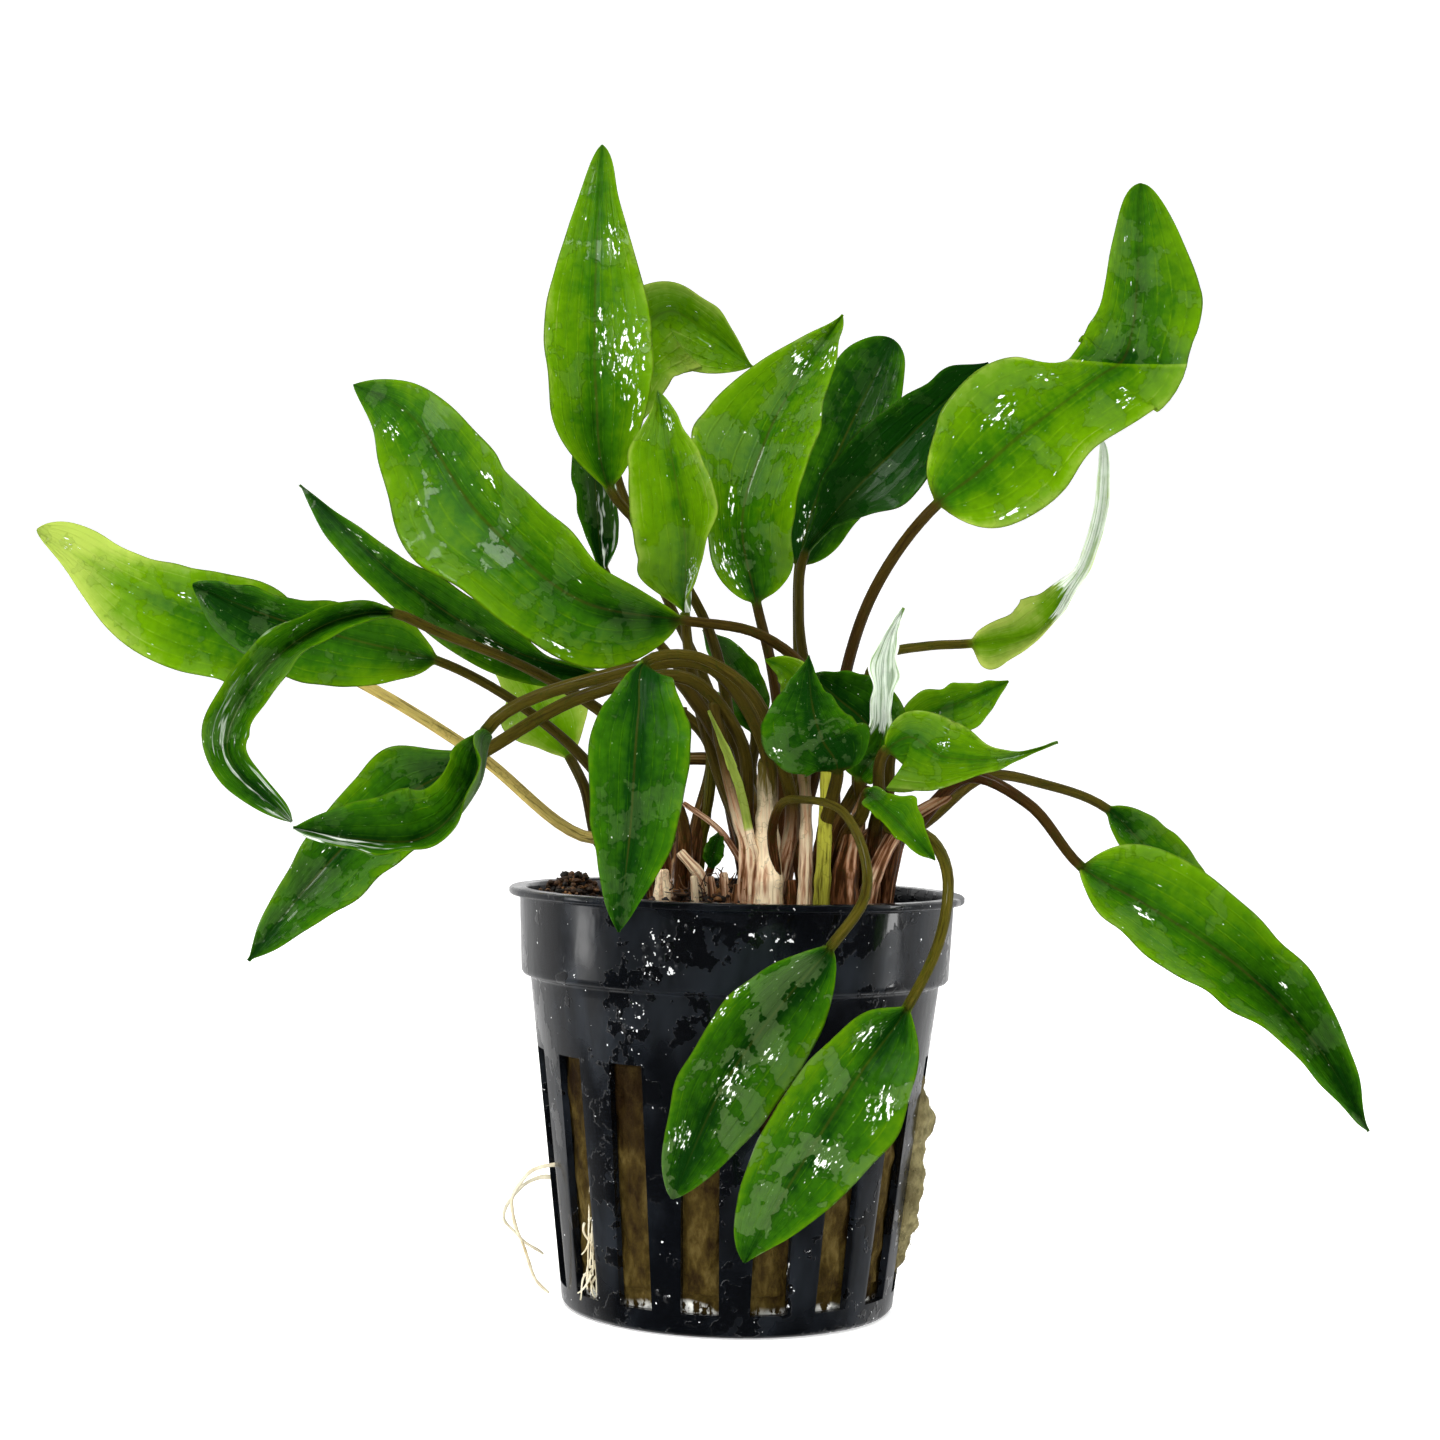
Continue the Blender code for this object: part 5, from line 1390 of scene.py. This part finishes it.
def wool_rings(look):
    """A drum with a domed top that is lumpy all over, and how far each of its points bulges out.

    Its radius swells a little behind each slot, as a bell curve to the power 4 of the way round,
    and much more in the two slots that it bulges from.
    """
    side = np.linspace(WOOL_LOW, WOOL_HIGH - 1.2, SIDE_ROWS)
    radius = cone(np.minimum(side, 39.6)) - in_mm(look.wall) - 0.45
    foot = np.linspace(0.3, radius[0] - 0.4, FOOT_ROWS)
    top = np.linspace(radius[-1] - 1.0, 0.3, TOP_ROWS)
    radius = np.concatenate([foot, radius, top])
    dome = WOOL_HIGH + 0.6 * (1 - (top / top[0]) ** 2)
    height = np.concatenate([np.full(FOOT_ROWS, WOOL_LOW), side, dome])[:, None]
    part = np.repeat([0, 1, 2], (FOOT_ROWS, SIDE_ROWS, TOP_ROWS))[:, None]
    flank, crest = part == 1, part == 2
    turn = np.arange(WOOL_AROUND) * 2 * np.pi / WOOL_AROUND
    phase = look.phase - np.pi / 2
    from_slot = np.angle(np.exp(1j * look.slots * (turn - phase))) / look.slots
    half = in_mm(look.slot_width) / 2 / 22
    in_slot = np.exp(-(from_slot / half) ** 4)
    which = np.round((turn - phase) * look.slots / (2 * np.pi)).astype(int) % look.slots
    tuft = np.isin(which, TUFT_SLOTS) * in_slot * np.exp(-((height - 16.5) / 11.5) ** 6)
    radius = radius[:, None] + flank * (0.5 * in_slot * ((height > 5) & (height < 31)))
    rings = np.stack([radius * np.cos(turn), radius * np.sin(turn), height + 0 * turn], -1)
    rough = 0.16 * lumps(rings * [1, 1, 0.3], 1.4, 11) + 0.12 * lumps(rings, 4.0, 12)
    grown = radius + rough * flank
    grown = grown + tuft * (2.0 + 0.55 * lumps(rings, 7.0, 13) + 0.3 * lumps(rings, 3.1, 16))
    lift = crest * (0.5 * lumps(rings, 6.0, 14) + 0.3 * lumps(rings, 2.0, 15))
    rings = np.stack([grown * np.cos(turn), grown * np.sin(turn), height + lift], -1)
    return rings, tuft


# The stage

CAMERA_PLACE = (-2.55, -320.0, 68.5)  # in millimetres
CAMERA_PITCH = math.radians(0.36)
CAMERA_ROLL = math.radians(1.4)
SENSOR_WIDTH = 36.0
FOCAL_LENGTH = 66.0


class PETCHII_OT_stage(bpy.types.Operator):
    """Sets the floor that sweeps up behind, the soft lights and the camera of the photograph"""

    bl_idname = "petchii.stage"
    bl_label = "Stage"

    def execute(self, context):
        look = context.scene.petchii_stage
        sweep_floor(look)
        room_light(look)
        soft_box("key", (-0.16, -0.36, 0.56), (0, 0, 0.07), 0.2, 0.2, look.key)
        soft_box("fill", (0.05, -0.62, 0.2), (0, 0, 0.07), 0.5, 0.4, look.fill, glints=False)
        soft_box("top", (0.1, 0.1, 0.8), (0, 0, 0.07), 0.9, 0.7, look.top, glints=False)
        soft_box("left_strip", (-0.55, -0.05, 0.12), (0, 0, 0.04), 0.12, 0.4, look.edge)
        soft_box("right_strip", (0.55, -0.05, 0.12), (0, 0, 0.04), 0.12, 0.4, look.edge)
        set_camera()
        context.scene.view_settings.view_transform = "Standard"
        return {"FINISHED"}


def sweep_floor(look):
    """A profile drawn along X, in metres: it lies flat, turns up along a quarter circle and stands behind."""
    turn = np.linspace(0, np.pi / 2, 24)
    bend, back = 0.6, 0.9
    y = np.concatenate([[-2.5], back + bend * np.sin(turn), [back + bend]])
    z = np.concatenate([[0.0], bend - bend * np.cos(turn), [3.0]])
    x = np.array([-3.0, 3.0])
    points = np.stack([np.repeat(x, len(y)), np.tile(y, 2), np.tile(z, 2)], -1)
    here = np.arange(len(y) - 1)
    faces = np.stack([here, here + len(y), here + len(y) + 1, here + 1], -1)
    mesh = bpy.data.meshes.new("floor")
    mesh.from_pydata(points.tolist(), [], faces.tolist())
    mesh.polygons.foreach_set("use_smooth", np.full(len(mesh.polygons), True))
    mesh.materials.append(floor_finish(look))
    floor = bpy.data.objects.new("floor", mesh)
    floor.visible_glossy = False
    bpy.context.scene.collection.objects.link(floor)


def room_light(look):
    """White all round for the eye and for soft light, but a dark front and a bright back in reflections."""
    world = bpy.data.worlds.new("room")
    world.use_nodes = True
    bpy.context.scene.world = world
    room = Nodes(world.node_tree)
    way = room.node("ShaderNodeTexCoord")[0]
    depth = room.node("ShaderNodeSeparateXYZ", None, way)[1]

    def lit(front, back):
        """A white shade whose strength rises smoothly from the front to the back."""
        strength = depth.eased(-0.2, 0.6, front, back)
        return room.node("ShaderNodeBackground", None, color=WHITE, strength=strength)[0]

    shade, gloss = lit(look.sky, look.backdrop), lit(look.front, look.back)
    seen = room.node("ShaderNodeBackground", None, color=WHITE, strength=1.1)[0]
    to_camera, _, _, in_gloss = room.node("ShaderNodeLightPath")[:4]
    light = room.node("ShaderNodeMixShader", None, in_gloss, shade, gloss)[0]
    room.show(room.node("ShaderNodeMixShader", None, to_camera, light, seen)[0])


def soft_box(name, place, target, width, height, power, glints=True):
    """A rectangular light at a place, turned to face a target. Without glints it doesn't show in a gloss."""
    lamp = bpy.data.lights.new(name, "AREA")
    lamp.shape, lamp.size, lamp.size_y, lamp.energy = "RECTANGLE", width, height, power
    made = bpy.data.objects.new(name, lamp)
    bpy.context.scene.collection.objects.link(made)
    place, target = np.array(place, float), np.array(target, float)
    back = unit(place - target)
    side = unit(np.cross([0, 0, 1], back))
    up = np.cross(back, side)
    turn = np.eye(4)
    turn[:3, :3] = np.stack([side, up, back], 1)
    turn[:3, 3] = place
    made.matrix_world = Matrix(turn.tolist())
    made.visible_glossy = glints


def set_camera():
    """The photograph's camera, fitted to the pot's rings.

    It stands level with the stalks, looks up by its pitch and is turned clockwise by its roll.
    """
    pitch, roll = CAMERA_PITCH, CAMERA_ROLL
    forward = np.array([0, math.cos(pitch), math.sin(pitch)])
    level = np.array([1.0, 0, 0])
    above = np.cross(level, forward)
    turn = np.eye(4)
    turn[:3, 0] = level * math.cos(roll) + above * math.sin(roll)
    turn[:3, 1] = above * math.cos(roll) - level * math.sin(roll)
    turn[:3, 2] = -forward
    turn[:3, 3] = np.array(CAMERA_PLACE) * MM
    camera = bpy.data.cameras.new("camera")
    camera.sensor_width = SENSOR_WIDTH
    camera.lens = FOCAL_LENGTH
    camera.clip_start = 0.01
    made = bpy.data.objects.new("camera", camera)
    bpy.context.scene.collection.objects.link(made)
    made.matrix_world = Matrix(turn.tolist())
    bpy.context.scene.camera = made


# The panel, and the run


class PETCHII_PT_panel(bpy.types.Panel):
    """Lists the sizes, the colours and the pieces"""

    bl_idname = "PETCHII_PT_panel"
    bl_label = "Cryptocoryne"
    bl_space_type = "VIEW_3D"
    bl_region_type = "UI"
    bl_category = "Cryptocoryne"

    def draw(self, context):
        for group in GROUPS:
            box = self.layout.box()
            for key in GROUPS[group].__annotations__:
                box.prop(getattr(context.scene, group), key)
        for maker in MAKERS:
            self.layout.operator(maker.bl_idname)


GROUPS = {"petchii_pot": PotProperties, "petchii_plant": PlantProperties, "petchii_stage": StageProperties}
MAKERS = (PETCHII_OT_stage, PETCHII_OT_net_pot, PETCHII_OT_wool, PETCHII_OT_crowns, PETCHII_OT_leaves,
          PETCHII_OT_roots, PETCHII_OT_stems, PETCHII_OT_litter)


def register():
    """Registers the properties, the operators and the panel."""
    for group in GROUPS:
        bpy.utils.register_class(GROUPS[group])
        setattr(bpy.types.Scene, group, PointerProperty(type=GROUPS[group]))
    for maker in (*MAKERS, PETCHII_PT_panel):
        bpy.utils.register_class(maker)


def unregister():
    """Takes them all out again, in reverse order."""
    for maker in (PETCHII_PT_panel, *reversed(MAKERS)):
        bpy.utils.unregister_class(maker)
    for group in GROUPS:
        delattr(bpy.types.Scene, group)
        bpy.utils.unregister_class(GROUPS[group])


def main():
    """Builds everything in order."""
    register()
    bpy.ops.petchii.stage()
    bpy.ops.petchii.net_pot()
    bpy.ops.petchii.wool()
    bpy.ops.petchii.crowns()
    bpy.ops.petchii.leaves()
    bpy.ops.petchii.roots()
    bpy.ops.petchii.stems()
    bpy.ops.petchii.litter()


if __name__ == "__main__":
    main()
